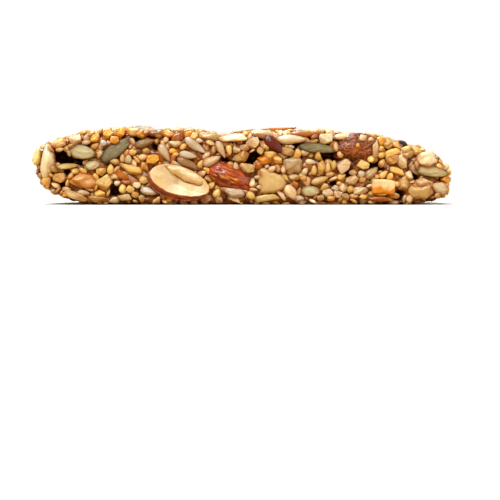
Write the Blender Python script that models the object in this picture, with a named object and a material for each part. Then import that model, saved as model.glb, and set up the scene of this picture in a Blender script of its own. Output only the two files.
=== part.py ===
"""A nut and seed bar: a pressed block of sesame, sunflower kernels, pumpkin seeds and chopped nuts, set in
toffee and cut into a finger with broken ends.

The bar lies on its flat underside. The origin is at the middle of that underside, +X runs along the length,
+Z is up, and the cut side that shows the split almond faces -Y. The seeds and small nut pieces are fused to
the toffee core as one solid. Each nut or fruit as large as a berry is a solid of its own in a pocket.
"""

import math

import bmesh
import bpy
import numpy as np
from mathutils import Matrix, Vector, noise
from mathutils.bvhtree import BVHTree

MM = 0.001

# Driving dimensions, in metres.
LENGTH = 123.6 * MM
WIDTH = 38.0 * MM
HEIGHT = 23.0 * MM
TOP_EDGE_RADIUS = 4.0 * MM
UNDER_EDGE_RADIUS = 2.0 * MM
CORE_INSET = 0.9 * MM  # how far the toffee lies under the bar's outer form
PROUD = 0.4 * MM  # how far a fused piece stands out of that form
NUT_PROUD = 0.9 * MM
POCKET_GAP = 0.3 * MM
BUMP_HEIGHT = 1.1 * MM
BUMP_SPACING = 3.2 * MM
CORE_CELLS = (31, 10, 6)  # cells along the length, the width and the height
UNDERSIDE_CLEARANCE = 0.3 * MM
SEED = 11

# The bar's form along its length, as shares of the half length, the height and the half width:
# (along, underside, top, front side, back side). The ends are broken, the left one to a blunt wedge.
STATIONS = (
    (-1.00, 0.42, 0.66, 0.82, 0.50),
    (-0.96, 0.23, 0.77, 0.94, 0.76),
    (-0.90, 0.13, 0.84, 0.97, 0.88),
    (-0.82, 0.05, 0.91, 1.00, 0.97),
    (-0.72, 0.00, 0.96, 1.00, 1.00),
    (-0.58, 0.00, 1.00, 1.00, 1.00),
    (-0.25, 0.00, 0.98, 1.00, 0.98),
    (-0.12, 0.00, 0.925, 1.00, 1.00),
    (0.04, 0.00, 0.955, 1.00, 0.99),
    (0.36, 0.00, 0.975, 1.00, 1.00),
    (0.50, 0.00, 0.93, 1.00, 0.98),
    (0.66, 0.00, 0.905, 1.00, 1.00),
    (0.77, 0.00, 0.82, 1.00, 0.98),
    (0.88, 0.02, 0.72, 0.98, 0.96),
    (0.95, 0.06, 0.63, 0.96, 0.88),
    (1.00, 0.13, 0.52, 0.86, 0.72),
)

# Each side that pieces lie in: the way it faces, and the way that a turn of 0 runs.
SIDES = {
    "front": (Vector((0, -1, 0)), Vector((1, 0, 0))),
    "back": (Vector((0, 1, 0)), Vector((-1, 0, 0))),
    "top": (Vector((0, 0, 1)), Vector((1, 0, 0))),
    "under": (Vector((0, 0, -1)), Vector((1, 0, 0))),
    "left": (Vector((-1, 0, 0)), Vector((0, -1, 0))),
    "right": (Vector((1, 0, 0)), Vector((0, 1, 0))),
}

# Nuts and fruits as large as berries, one solid each:
# (name, form, side, place on the side in mm, length, width and thickness in mm, turn in degrees).
# A place is x and z on the front and back, x and y on the top and underside, y and z on an end.
NUTS = (
    ("front_split_almond", "half", "front", (-18.4, 6.4), (18.6, 9.8, 7.0), -15),
    ("front_whole_almond", "almond", "front", (-3.0, 7.8), (15.6, 7.2, 6.4), -22),
    ("front_pale_nut", "slab", "front", (9.1, 6.8), (8.6, 7.6, 5.0), -6),
    ("front_brown_nut", "chunk", "front", (15.2, 11.4), (6.2, 5.8, 5.0), 35),
    ("front_date_piece", "date", "front", (33.6, 16.7), (13.4, 7.6, 6.2), 6),
    ("front_fruit_cube", "cube", "front", (41.5, 5.2), (7.0, 4.6, 5.0), -3),
    ("front_toffee_nut", "chunk", "front", (-46.8, 7.2), (8.9, 5.0, 5.0), -4),
    ("left_end_nut", "slab", "front", (-57.8, 12.3), (10.8, 4.6, 4.6), 83),
    ("right_cream_nut", "chunk", "front", (54.9, 13.4), (6.8, 5.4, 5.0), -20),
    ("right_low_nut", "chunk", "front", (53.4, 4.2), (7.4, 5.4, 5.0), 15),
    ("top_whole_almond", "almond", "top", (-31.0, 4.0), (19.5, 9.5, 7.0), 28),
    ("top_split_almond", "half", "top", (9.0, -5.5), (18.0, 9.6, 6.6), -38),
    ("top_date_piece", "date", "top", (33.0, 7.0), (12.5, 8.0, 6.0), -20),
    ("top_fruit_cube", "cube", "top", (-9.0, 9.5), (6.4, 5.6, 4.6), 24),
    ("back_whole_almond", "almond", "back", (27.0, 9.0), (18.5, 9.0, 6.8), 17),
    ("back_split_almond", "half", "back", (-27.0, 12.0), (18.2, 9.4, 6.6), -24),
    ("back_pale_nut", "slab", "back", (2.0, 8.0), (9.0, 7.4, 5.0), 40),
    ("back_date_piece", "date", "back", (-46.0, 9.0), (10.5, 6.6, 5.6), 12),
    ("under_split_almond", "half", "under", (-22.0, 6.0), (18.4, 9.6, 6.4), 33),
    ("under_pale_nut", "half", "under", (26.0, -6.0), (13.0, 9.0, 5.2), -55),
)

# Length, width and thickness in mm of each kind of small piece.
KINDS = {
    "pumpkin": (11.4, 6.0, 2.2),
    "sunflower": (7.6, 3.2, 2.1),
    "chunk": (4.4, 3.4, 2.9),
    "sliver": (6.6, 2.6, 1.9),
}

# The larger pieces of the cut front, left to right:
# (kind, x and z in mm, length and width in mm as seen, turn in degrees).
FRONT_PIECES = (
    ("chunk", -61.2, 14.2, 3.6, 2.8, 70),
    ("chunk", -58.0, 6.4, 3.8, 2.8, 60),
    ("sliver", -54.0, 18.2, 4.6, 2.7, 22),
    ("chunk", -53.6, 7.8, 4.2, 2.9, 8),
    ("pumpkin", -51.0, 11.3, 6.6, 1.8, 6),
    ("chunk", -48.7, 19.3, 3.8, 3.0, 10),
    ("pumpkin", -46.6, 15.4, 8.4, 4.4, -8),
    ("pumpkin", -43.6, 11.6, 4.6, 2.9, 12),
    ("sunflower", -46.4, 3.4, 3.9, 1.9, -4),
    ("chunk", -40.2, 6.3, 4.8, 4.0, 30),
    ("chunk", -41.8, 3.0, 3.5, 2.8, 0),
    ("pumpkin", -36.6, 16.1, 11.6, 4.2, 37),
    ("chunk", -37.2, 19.0, 3.0, 2.8, 20),
    ("sliver", -32.3, 10.2, 7.0, 2.6, -16),
    ("sliver", -35.0, 8.6, 4.0, 2.2, -36),
    ("sliver", -34.4, 2.2, 4.2, 2.0, 0),
    ("sunflower", -28.3, 18.0, 6.4, 2.6, 14),
    ("chunk", -26.2, 13.4, 4.2, 3.2, 24),
    ("sunflower", -22.5, 15.0, 6.2, 2.8, -60),
    ("chunk", -19.0, 20.0, 4.4, 3.0, 0),
    ("sunflower", -13.5, 17.2, 7.6, 2.8, -38),
    ("sunflower", -15.6, 14.4, 5.6, 2.5, -12),
    ("sunflower", -8.7, 12.9, 6.0, 2.9, 22),
    ("sliver", -9.4, 20.3, 6.4, 2.4, -4),
    ("sliver", -2.6, 19.6, 8.6, 2.5, 0),
    ("sunflower", -6.0, 16.1, 5.6, 2.3, -65),
    ("chunk", 0.2, 14.0, 4.8, 3.2, 30),
    ("chunk", 3.4, 18.0, 4.2, 3.0, 20),
    ("sliver", 5.8, 21.0, 7.4, 2.4, -8),
    ("sliver", 9.6, 17.6, 6.6, 3.0, -34),
    ("chunk", 7.0, 13.2, 4.8, 3.0, 10),
    ("sunflower", 14.8, 19.3, 9.0, 3.0, 0),
    ("pumpkin", 19.3, 21.6, 10.3, 2.0, 0),
    ("pumpkin", 22.5, 16.5, 11.8, 3.0, -5),
    ("sunflower", 14.6, 3.5, 5.4, 3.4, -55),
    ("pumpkin", 20.4, 4.0, 6.0, 3.4, 3),
    ("sliver", 7.4, 1.9, 7.6, 2.2, 5),
    ("sunflower", 23.2, 7.2, 5.8, 2.3, 18),
    ("chunk", 23.6, 11.0, 4.2, 2.6, 85),
    ("chunk", 24.8, 19.4, 4.2, 3.2, 0),
    ("chunk", 26.4, 3.2, 5.0, 3.2, 15),
    ("sunflower", 31.0, 20.4, 7.6, 2.0, 4),
    ("chunk", 29.8, 11.2, 4.5, 3.8, 20),
    ("chunk", 32.6, 7.2, 4.0, 2.8, 16),
    ("chunk", 35.0, 4.2, 4.5, 2.7, 0),
    ("sunflower", 38.3, 9.4, 4.8, 3.0, 38),
    ("sliver", 44.2, 15.2, 5.0, 2.3, 12),
    ("chunk", 42.4, 18.6, 3.6, 3.0, 0),
    ("sliver", 45.6, 9.8, 4.8, 1.9, -25),
    ("chunk", 47.0, 13.0, 5.0, 3.3, -68),
    ("chunk", 49.0, 16.6, 3.4, 3.0, 10),
    ("chunk", 47.8, 6.4, 4.4, 3.4, 75),
    ("pumpkin", 56.0, 9.8, 10.2, 3.4, -10),
    ("chunk", 60.0, 4.6, 4.6, 3.4, -12),
)

# Scattered over the other sides: (kind, count), the largest first.
SCATTERED = (("pumpkin", 14), ("sunflower", 24), ("chunk", 38))
SCATTER_SIDES = (("top", 0.52), ("back", 0.36), ("left", 0.06), ("right", 0.06))

# Colour, roughness and metallic value of each finish.
FINISHES = {
    "seed_mix": ((0.62, 0.38, 0.15), 0.42, 0.0),
    "almond_skin": ((0.25, 0.07, 0.02), 0.35, 0.0),
    "nut_flesh": ((0.80, 0.60, 0.36), 0.5, 0.0),
    "date": ((0.13, 0.03, 0.01), 0.3, 0.0),
    "fruit": ((0.85, 0.38, 0.06), 0.4, 0.0),
}
NUT_FINISH = {"half": "nut_flesh", "almond": "almond_skin", "slab": "nut_flesh", "chunk": "nut_flesh"}
NUT_FINISH |= {"date": "date", "cube": "fruit"}


def clear_scene():
    for obj in list(bpy.data.objects):
        bpy.data.objects.remove(obj)


def finish(name):
    """The material of that name, made once."""
    made = bpy.data.materials.get(name)
    if made:
        return made
    colour, roughness, metallic = FINISHES[name]
    made = bpy.data.materials.new(name)
    made.use_nodes = True
    shader = made.node_tree.nodes["Principled BSDF"]
    shader.inputs["Base Color"].default_value = (*colour, 1.0)
    shader.inputs["Roughness"].default_value = roughness
    shader.inputs["Metallic"].default_value = metallic
    return made


def add_object(name, bm, collection, material):
    """The bmesh as an object of that collection."""
    mesh = bpy.data.meshes.new(name)
    bm.to_mesh(mesh)
    bm.free()
    mesh.materials.append(finish(material))
    obj = bpy.data.objects.new(name, mesh)
    collection.objects.link(obj)
    return obj


def section(along):
    """Underside, top, front and back of the bar at that share of its half length, in metres."""
    low, high, front, back = (np.interp(along, [s[0] for s in STATIONS], c) for c in list(zip(*STATIONS))[1:])
    return low * HEIGHT, high * HEIGHT, -front * WIDTH / 2, back * WIDTH / 2


def on_form(co, inset):
    """The point of the bar's form for a point of a cube from -1 to 1, with its long edges rounded."""
    low, high, front, back = section(co.x)
    high, front, back = high - inset, front + inset, back - inset
    y = front + (co.y + 1) / 2 * (back - front)
    z = low + (co.z + 1) / 2 * (high - low)
    radius = min(TOP_EDGE_RADIUS if co.z > 0 else UNDER_EDGE_RADIUS, (high - low) / 2)
    corner_y = min(max(y, front + radius), back - radius)
    corner_z = min(max(z, low + radius), high - radius)
    out = Vector((y - corner_y, z - corner_z))
    if out.x and out.y:
        out *= max(abs(out.x), abs(out.y)) / out.length
    return Vector((co.x * (LENGTH / 2 - inset), corner_y + out.x, corner_z + out.y))


def bar_form(cells, inset):
    """A cube cut into a grid and moved onto the bar's form."""
    bm = bmesh.new()
    bmesh.ops.create_cube(bm, size=2.0)
    for axis, count in enumerate(cells):
        direction = Vector([float(i == axis) for i in range(3)])
        for step in range(1, count):
            place = direction * (2 * step / count - 1)
            everything = bm.verts[:] + bm.edges[:] + bm.faces[:]
            bmesh.ops.bisect_plane(bm, geom=everything, plane_co=place, plane_no=direction)
    for vert in bm.verts:
        vert.co = on_form(vert.co, inset)
    bm.normal_update()
    return bm


def add_bumps(bm):
    """Raises and lowers the toffee by seed-sized bumps, all but its flat underside."""
    for vert in bm.verts:
        if vert.co.z > UNDER_EDGE_RADIUS:
            vert.co += vert.normal * BUMP_HEIGHT * noise.noise(vert.co / BUMP_SPACING)


def spot_on(tree, side, across, up):
    """Point and normal where a line straight into that side meets the bar's form. Past an end it is the nearest."""
    facing, along = SIDES[side]
    if side in ("front", "back"):
        aim = Vector((across, 0, up))
    elif side in ("top", "under"):
        aim = Vector((across, up, HEIGHT / 2))
    else:
        aim = Vector((0, across, up))
    start = aim + facing * LENGTH
    point, normal, _, _ = tree.ray_cast(start, -facing)
    if point is None:
        point, normal, _, _ = tree.find_nearest(aim + facing * WIDTH / 2)
    return point, normal


def axes_at(side, normal, turn, roll=0.0):
    """Rotation whose X is the piece's length, Y its width and Z its thickness, which faces outwards."""
    along = SIDES[side][1]
    across = (along - normal * along.dot(normal)).normalized()
    base = Matrix((across, normal.cross(across), normal)).transposed()
    return base @ Matrix.Rotation(turn, 3, "Z") @ Matrix.Rotation(roll, 3, "X")


def reach(size, axes, direction):
    """Half of an ellipsoid's extent along a direction."""
    local = axes.transposed() @ direction
    return math.sqrt(sum((half * part) ** 2 for half, part in zip(size, local)))


def kept_inside(centre, size, axes, proud):
    """The centre, moved in where the piece would stand out past the bar's outline or reach its underside."""
    _, high, front, back = section(2 * centre.x / LENGTH)
    lowest = UNDERSIDE_CLEARANCE + proud
    limits = ((-LENGTH / 2, LENGTH / 2), (front, back), (lowest, high))
    for axis, (least, most) in enumerate(limits):
        half = reach(size, axes, Vector([float(i == axis) for i in range(3)]))
        centre[axis] = min(centre[axis], most + proud - half)
        centre[axis] = max(centre[axis], least - proud + half)
    return centre


def egg(segments, rings, taper, pinch):
    """A closed egg along X within -1 to 1. taper makes the +X end the smaller one, and pinch points it."""
    bm = bmesh.new()
    bmesh.ops.create_uvsphere(bm, u_segments=segments, v_segments=rings, radius=1.0)
    for vert in bm.verts:
        y, z, x = vert.co
        slim = (1 - taper * x) * (1 - pinch * max(x, 0.0) ** 2)
        vert.co = Vector((x, y * slim, z * slim))
    return bm


def lump(subdivisions, roughness, phase):
    """An irregular closed lump within about -1 to 1."""
    bm = bmesh.new()
    bmesh.ops.create_icosphere(bm, subdivisions=subdivisions, radius=1.0)
    for vert in bm.verts:
        vert.co *= 1 + roughness * noise.noise(vert.co * 1.3 + Vector((phase, -phase, 0.5 * phase)))
    return bm


def half_nut():
    """Half a nut: a cut face towards +Z with a shallow hollow where the germ lay, and a round back."""
    bm = egg(12, 6, 0.16, 0.12)
    everything = bm.verts[:] + bm.edges[:] + bm.faces[:]
    cut = bmesh.ops.bisect_plane(
        bm, geom=everything, plane_co=(0, 0, 0.1), plane_no=(0, 0, 1), clear_outer=True
    )
    rim = [piece for piece in cut["geom_cut"] if isinstance(piece, bmesh.types.BMEdge)]
    face = bmesh.ops.contextual_create(bm, geom=rim)["faces"]
    bmesh.ops.inset_region(bm, faces=face, thickness=0.3, depth=0.0)
    bmesh.ops.translate(bm, verts=face[0].verts, vec=(0, 0, -0.22))
    bmesh.ops.recalc_face_normals(bm, faces=bm.faces)
    return bm


def soft_box(bevel):
    """A box within -1 to 1 with its edges cut."""
    bm = bmesh.new()
    bmesh.ops.create_cube(bm, size=2.0)
    bmesh.ops.bevel(bm, geom=bm.edges[:], offset=bevel, segments=1, affect="EDGES", profile=0.5)
    return bm


def nut_form(form, phase):
    if form == "almond":
        return egg(10, 7, 0.2, 0.25)
    if form == "half":
        return half_nut()
    if form == "cube":
        return soft_box(0.25)
    if form == "slab":
        return soft_box(0.55)
    if form == "date":
        return lump(2, 0.3, phase)
    return lump(2, 0.4, phase)


def seed_form(kind, phase):
    if kind == "pumpkin":
        return egg(8, 4, 0.12, 0.2)
    if kind == "chunk":
        return lump(1, 0.5, phase)
    return egg(5, 4, 0.15, 0.2)


def put(bm, size, axes, centre):
    """Gives a unit form its half sizes, its turn and its place."""
    for vert in bm.verts:
        vert.co = centre + axes @ Vector([half * part for half, part in zip(size, vert.co)])
    bm.normal_update()
    return bm


def add_nuts(tree, nuts, pockets):
    """Each large piece as its own solid, and a cutter that leaves a gap all round it. Returns where they lie."""
    places = []
    for number, (name, form, side, (across, up), sizes, turn) in enumerate(NUTS):
        size = Vector(sizes) * MM / 2
        point, normal = spot_on(tree, side, across * MM, up * MM)
        axes = axes_at(side, normal, math.radians(turn))
        if form == "half":
            depth = 0.1 * size.z - (0.0 if side == "under" else NUT_PROUD)
        else:
            depth = size.z - NUT_PROUD
        centre = point - normal * depth
        if side == "under":
            centre.z = 0.1 * size.z
        elif form != "half":
            centre = kept_inside(centre, size, axes, NUT_PROUD)
        add_object(name, put(nut_form(form, number), size, axes, centre), nuts, NUT_FINISH[form])
        wide = size + Vector((POCKET_GAP,) * 3) * 1.15
        pocket_form = nut_form(form, number)
        cutter = put(pocket_form, wide, axes, centre)
        add_object("pocket_" + name, cutter, pockets, NUT_FINISH[form])
        places.append((centre, wide, axes))
    return places


def is_clear(centre, radius, size, placed, nut_places):
    """True where a small piece crosses no nut and doesn't bury another small piece."""
    for nut_centre, nut_size, nut_axes in nut_places:
        local = nut_axes.transposed() @ (centre - nut_centre)
        if sum((part / (half + radius)) ** 2 for part, half in zip(local, nut_size)) < 1:
            return False
    return all((centre - other).length > 0.62 * (size.x + length) for other, length in placed)


def fuse_piece(kind, side, spot, size, turn, roll, number, pieces):
    """Adds one small piece, sunk into the core, and returns its centre."""
    point, normal = spot
    axes = axes_at(side, normal, turn, roll)
    half = reach(size, axes, normal)
    centre = point - normal * max(half - PROUD, CORE_INSET - 0.5 * half)
    centre = kept_inside(centre, size, axes, PROUD)
    add_object(f"piece_{number}", put(seed_form(kind, number), size, axes, centre), pieces, "seed_mix")
    return centre


def add_front_pieces(tree, pieces, nut_places):
    """The larger pieces of the cut front, less those that a nut leaves no room for."""
    placed = []
    for number, (kind, x, z, length, width, turn) in enumerate(FRONT_PIECES):
        size = Vector((length, width, min(width, KINDS[kind][2]))) * MM / 2
        point, normal = spot_on(tree, "front", x * MM, z * MM)
        if not is_clear(point - normal * size.z, 0.6 * size.y, size, [], nut_places):
            continue
        centre = fuse_piece(
            kind, "front", (point, normal), size, math.radians(turn), 0.0, number, pieces
        )
        placed.append((centre, size.x))
    return placed


def add_scattered(tree, pieces, nut_places, placed):
    """Pieces strewn over the other sides by a seeded draw, the largest kind first."""
    draw = np.random.default_rng(SEED)
    names = [side for side, _ in SCATTER_SIDES]
    shares = [share for _, share in SCATTER_SIDES]
    number = len(FRONT_PIECES)
    for kind, count in SCATTERED:
        tries = 0
        done = 0
        while done < count and tries < 60 * count:
            tries += 1
            side = names[draw.choice(len(names), p=shares)]
            across, up, turn, roll, scale = draw.random(5)
            size = Vector(KINDS[kind]) * MM / 2 * (0.85 + 0.3 * scale)
            if side in ("left", "right"):
                spot = spot_on(tree, side, (across - 0.5) * WIDTH * 0.8, (0.12 + 0.7 * up) * HEIGHT)
            elif side == "top":
                spot = spot_on(tree, side, (across - 0.5) * LENGTH, (up - 0.5) * WIDTH)
            else:
                spot = spot_on(tree, side, (across - 0.5) * LENGTH, (0.06 + 0.86 * up) * HEIGHT)
            point, normal = spot
            if point.z < 1.5 * MM or not is_clear(point, 0.7 * size.x, size, placed, nut_places):
                continue
            number += 1
            lean = (roll - 0.5) * math.radians(120 if side in ("back", "left", "right") else 40)
            centre = fuse_piece(kind, side, spot, size, turn * math.tau, lean, number, pieces)
            placed.append((centre, size.x))
            done += 1


def apply_booleans(bar, pieces, pockets):
    """Joins the pieces to the core, then cuts the pockets, and removes what was joined and cut with."""
    for operation, others in (("UNION", pieces), ("DIFFERENCE", pockets)):
        boolean = bar.modifiers.new(operation.title(), "BOOLEAN")
        boolean.operation = operation
        boolean.operand_type = "COLLECTION"
        boolean.collection = others
        boolean.solver = "MANIFOLD"
    graph = bpy.context.evaluated_depsgraph_get()
    joined = bpy.data.meshes.new_from_object(bar.evaluated_get(graph), depsgraph=graph)
    bar.modifiers.clear()
    bar.data = joined
    for others in (pieces, pockets):
        for obj in list(others.objects):
            bpy.data.objects.remove(obj)
        bpy.data.collections.remove(others)


def drop_scraps(bar):
    """Keeps the largest connected body of the bar's mesh."""
    bm = bmesh.new()
    bm.from_mesh(bar.data)
    unseen = set(bm.verts)
    bodies = []
    while unseen:
        body = {unseen.pop()}
        edge_of_body = list(body)
        while edge_of_body:
            vert = edge_of_body.pop()
            for edge in vert.link_edges:
                other = edge.other_vert(vert)
                if other in unseen:
                    unseen.remove(other)
                    body.add(other)
                    edge_of_body.append(other)
        bodies.append(body)
    bodies.sort(key=len)
    scraps = [vert for body in bodies[:-1] for vert in body]
    bmesh.ops.delete(bm, geom=scraps, context="VERTS")
    bm.to_mesh(bar.data)
    bm.free()


def main():
    clear_scene()
    bar_parts = bpy.data.collections.new("nut_bar")
    pieces = bpy.data.collections.new("fused_pieces")
    pockets = bpy.data.collections.new("pockets")
    for collection in (bar_parts, pieces, pockets):
        bpy.context.scene.collection.children.link(collection)

    outer = bar_form((60, 20, 12), 0.0)
    tree = BVHTree.FromBMesh(outer)
    outer.free()

    core = bar_form(CORE_CELLS, CORE_INSET)
    add_bumps(core)
    bar = add_object("bar", core, bar_parts, "seed_mix")

    nut_places = add_nuts(tree, bar_parts, pockets)
    placed = add_front_pieces(tree, pieces, nut_places)
    add_scattered(tree, pieces, nut_places, placed)
    apply_booleans(bar, pieces, pockets)
    drop_scraps(bar)


main()
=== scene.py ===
# %% [markdown]
# # A nut and seed bar
# This bar is a block of sesame, sunflower kernels, pumpkin seeds and chopped nuts, pressed in hot toffee
# and cut into a finger. Nothing on it is smooth: what the eye reads is hundreds of small glossy forms, and
# the dark gaps between them. So the lesson builds a few seeds with care, copies each of them many times,
# and packs the copies round a core of toffee. The large nuts are modelled one by one. Painting seeds on a
# block would be quicker, but the outline would stay straight and the gaps would have no depth.

# %% Load the solid model
import math

import bmesh
import bpy
import numpy as np
from mathutils import Matrix, Vector, noise
from mathutils.bvhtree import BVHTree


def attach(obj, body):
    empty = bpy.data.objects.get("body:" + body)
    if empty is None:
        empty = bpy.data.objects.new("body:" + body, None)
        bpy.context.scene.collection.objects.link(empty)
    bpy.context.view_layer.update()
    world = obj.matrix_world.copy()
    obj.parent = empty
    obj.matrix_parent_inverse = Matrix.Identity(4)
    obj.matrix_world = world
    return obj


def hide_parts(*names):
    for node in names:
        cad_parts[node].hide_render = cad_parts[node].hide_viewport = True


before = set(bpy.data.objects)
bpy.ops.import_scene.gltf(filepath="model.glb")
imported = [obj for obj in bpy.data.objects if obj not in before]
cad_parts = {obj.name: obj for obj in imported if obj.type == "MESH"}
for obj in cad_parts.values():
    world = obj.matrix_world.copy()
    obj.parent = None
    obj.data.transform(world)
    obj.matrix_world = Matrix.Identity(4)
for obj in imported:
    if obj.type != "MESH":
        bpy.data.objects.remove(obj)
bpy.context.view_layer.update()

# %% [markdown]
# ## Sizes
# Everything is in metres. The few sizes below are the ones that the solid model was built from, so each
# large nut here lies where its plain solid lies, and the larger seeds lie close to theirs. The stations
# give the bar's outline along its length, because the ends are broken and the top isn't quite level.

# %% Driving dimensions
MM = 0.001
LENGTH = 123.6 * MM
WIDTH = 38.0 * MM
HEIGHT = 23.0 * MM
TOP_EDGE_RADIUS = 4.0 * MM
UNDER_EDGE_RADIUS = 2.0 * MM
CORE_INSET = 0.9 * MM
PROUD = 0.4 * MM
NUT_PROUD = 0.9 * MM
POCKET_GAP = 0.3 * MM
UNDERSIDE_CLEARANCE = 0.3 * MM
SEED = 11

# Along the bar, underside, top, front and back, as shares of the half length, height and half width.
STATIONS = (
    (-1.00, 0.42, 0.66, 0.82, 0.50),
    (-0.96, 0.23, 0.77, 0.94, 0.76),
    (-0.90, 0.13, 0.84, 0.97, 0.88),
    (-0.82, 0.05, 0.91, 1.00, 0.97),
    (-0.72, 0.00, 0.96, 1.00, 1.00),
    (-0.58, 0.00, 1.00, 1.00, 1.00),
    (-0.25, 0.00, 0.98, 1.00, 0.98),
    (-0.12, 0.00, 0.925, 1.00, 1.00),
    (0.04, 0.00, 0.955, 1.00, 0.99),
    (0.36, 0.00, 0.975, 1.00, 1.00),
    (0.50, 0.00, 0.93, 1.00, 0.98),
    (0.66, 0.00, 0.905, 1.00, 1.00),
    (0.77, 0.00, 0.82, 1.00, 0.98),
    (0.88, 0.02, 0.72, 0.98, 0.96),
    (0.95, 0.06, 0.63, 0.96, 0.88),
    (1.00, 0.13, 0.52, 0.86, 0.72),
)
FORM_CELLS = (60, 20, 12)  # cells along the length, the width and the height

# Each side: the way it faces, and the way that a turn of 0 runs.
SIDES = {
    "front": (Vector((0, -1, 0)), Vector((1, 0, 0))),
    "back": (Vector((0, 1, 0)), Vector((-1, 0, 0))),
    "top": (Vector((0, 0, 1)), Vector((1, 0, 0))),
    "under": (Vector((0, 0, -1)), Vector((1, 0, 0))),
    "left": (Vector((-1, 0, 0)), Vector((0, -1, 0))),
    "right": (Vector((1, 0, 0)), Vector((0, 1, 0))),
}
print("bar:", round(LENGTH / MM, 1), "x", round(WIDTH / MM, 1), "x", round(HEIGHT / MM, 1), "mm")

# %% [markdown]
# ## The table, the light and the camera
# The camera stands just above the table, so the cut side fills the view and the top is only a bright edge.
# A long lens keeps the ends from bending. The camera is tipped down a little, which lifts the bar in the
# picture, and that is better than a lens shift, because it still works from any other side.
#
# The table ends under the window light, where it is as white as the backdrop, so no edge shows. White paper
# would also throw its light up into the gaps between the seeds and wash them out. So both are white to the
# camera, and dim and warm to everything else, as a kitchen is.
#
# One lamp could light the bar, but its shadows would hide half of the seeds. So a window above lights the
# top, a broad light from the left front lights the cut side, and a weak one keeps the right end from going
# dark.

# %% Camera, table and lights
FRONT_TO_CAMERA = 240 * MM
EYE_HEIGHT = 6 * MM
EYE_ACROSS = 2.5 * MM
LENS = 58.75
TIP_DOWN = math.radians(4.6)
TABLE_WIDTH = 0.44
TABLE_DEPTH = 0.42


def add_camera():
    data = bpy.data.cameras.new("camera")
    data.lens = LENS
    data.clip_start = 0.005
    camera = bpy.data.objects.new("camera", data)
    camera.location = (EYE_ACROSS, -WIDTH / 2 - FRONT_TO_CAMERA, EYE_HEIGHT)
    camera.rotation_euler = (math.pi / 2 - TIP_DOWN, 0, 0)
    bpy.context.scene.collection.objects.link(camera)
    bpy.context.scene.camera = camera


def add_light(name, place, aim, size, power, colour):
    """A square soft light that faces a point."""
    data = bpy.data.lights.new(name, "AREA")
    data.size = size
    data.energy = power
    data.color = colour
    light = bpy.data.objects.new(name, data)
    light.location = place
    light.rotation_euler = (Vector(aim) - Vector(place)).to_track_quat("-Z", "Y").to_euler()
    bpy.context.scene.collection.objects.link(light)


def two_ways(tree, seen, sent_on):
    """One colour for the camera and another for the light that is sent on."""
    mix = tree.nodes.new("ShaderNodeMix")
    mix.data_type = "RGBA"
    tree.links.new(tree.nodes.new("ShaderNodeLightPath").outputs["Is Camera Ray"], mix.inputs[0])
    mix.inputs[6].default_value = (*sent_on, 1)
    mix.inputs[7].default_value = (*seen, 1)
    return mix.outputs[2]


def add_table(seen, sent_on):
    bpy.ops.object.select_all(action="DESELECT")
    bpy.ops.mesh.primitive_plane_add(size=1.0, location=(0, -0.12, 0))
    table = bpy.context.object
    table.name = "table"
    table.scale = (TABLE_WIDTH, TABLE_DEPTH, 1)
    white = bpy.data.materials.new("table_white")
    white.use_nodes = True
    tree = white.node_tree
    shader = tree.nodes["Principled BSDF"]
    tree.links.new(two_ways(tree, seen, sent_on), shader.inputs["Base Color"])
    shader.inputs["Roughness"].default_value = 0.9
    table.data.materials.append(white)


def add_sky(seen, sent_on):
    """The room: it lights the bar softly, and the backdrop itself is pure white."""
    world = bpy.data.worlds.new("studio")
    world.use_nodes = True
    tree = world.node_tree
    tree.links.new(two_ways(tree, seen, sent_on), tree.nodes["Background"].inputs["Color"])
    bpy.context.scene.world = world


add_camera()
add_table((0.85, 0.85, 0.85), (0.46, 0.27, 0.09))
add_sky((1.0, 1.0, 1.0), (0.36, 0.27, 0.13))
add_light("window", (-0.06, 0.12, 0.38), (0, 0, 0.01), 0.18, 1.9, (0.95, 1.0, 1.06))
add_light("front_fill", (-0.16, -0.36, 0.40), (0, 0, 0.01), 0.24, 3.2, (0.92, 1.03, 1.12))
add_light("right_fill", (0.17, -0.11, 0.08), (0.055, 0, 0.01), 0.10, 0.11, (0.95, 1.0, 1.04))
bpy.context.scene.view_settings.view_transform = "Standard"
print("camera, table and", len(bpy.data.lights), "lights")

# %% [markdown]
# ## The bar's outline
# A cube is cut into a grid, and each of its points is moved to the bar's surface. The seeds need two things
# from it: where a line straight into a side meets the bar, and which way the surface faces there. A search
# tree answers both quickly.

# %% The outer form


def section(along):
    """Underside, top, front and back of the bar at that share of its half length, or at an array of them."""
    places, *shares = zip(*STATIONS)
    low, high, front, back = (np.interp(along, places, share) for share in shares)
    return low * HEIGHT, high * HEIGHT, -front * WIDTH / 2, back * WIDTH / 2


def on_form(co, inset):
    """The point of the bar's form for a point of a cube from -1 to 1, with its long edges rounded."""
    low, high, front, back = section(co.x)
    high, front, back = high - inset, front + inset, back - inset
    y = front + (co.y + 1) / 2 * (back - front)
    z = low + (co.z + 1) / 2 * (high - low)
    radius = min(TOP_EDGE_RADIUS if co.z > 0 else UNDER_EDGE_RADIUS, (high - low) / 2)
    corner_y = min(max(y, front + radius), back - radius)
    corner_z = min(max(z, low + radius), high - radius)
    out = Vector((y - corner_y, z - corner_z))
    if out.x and out.y:
        out *= max(abs(out.x), abs(out.y)) / out.length
    return Vector((co.x * (LENGTH / 2 - inset), corner_y + out.x, corner_z + out.y))


def bar_form(cells, inset):
    """A cube cut into a grid and moved onto the bar's form."""
    bm = bmesh.new()
    bmesh.ops.create_cube(bm, size=2.0)
    for axis, count in enumerate(cells):
        direction = Vector([float(i == axis) for i in range(3)])
        for step in range(1, count):
            place = direction * (2 * step / count - 1)
            everything = bm.verts[:] + bm.edges[:] + bm.faces[:]
            bmesh.ops.bisect_plane(bm, geom=everything, plane_co=place, plane_no=direction)
    for vert in bm.verts:
        vert.co = on_form(vert.co, inset)
    bm.normal_update()
    return bm


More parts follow.
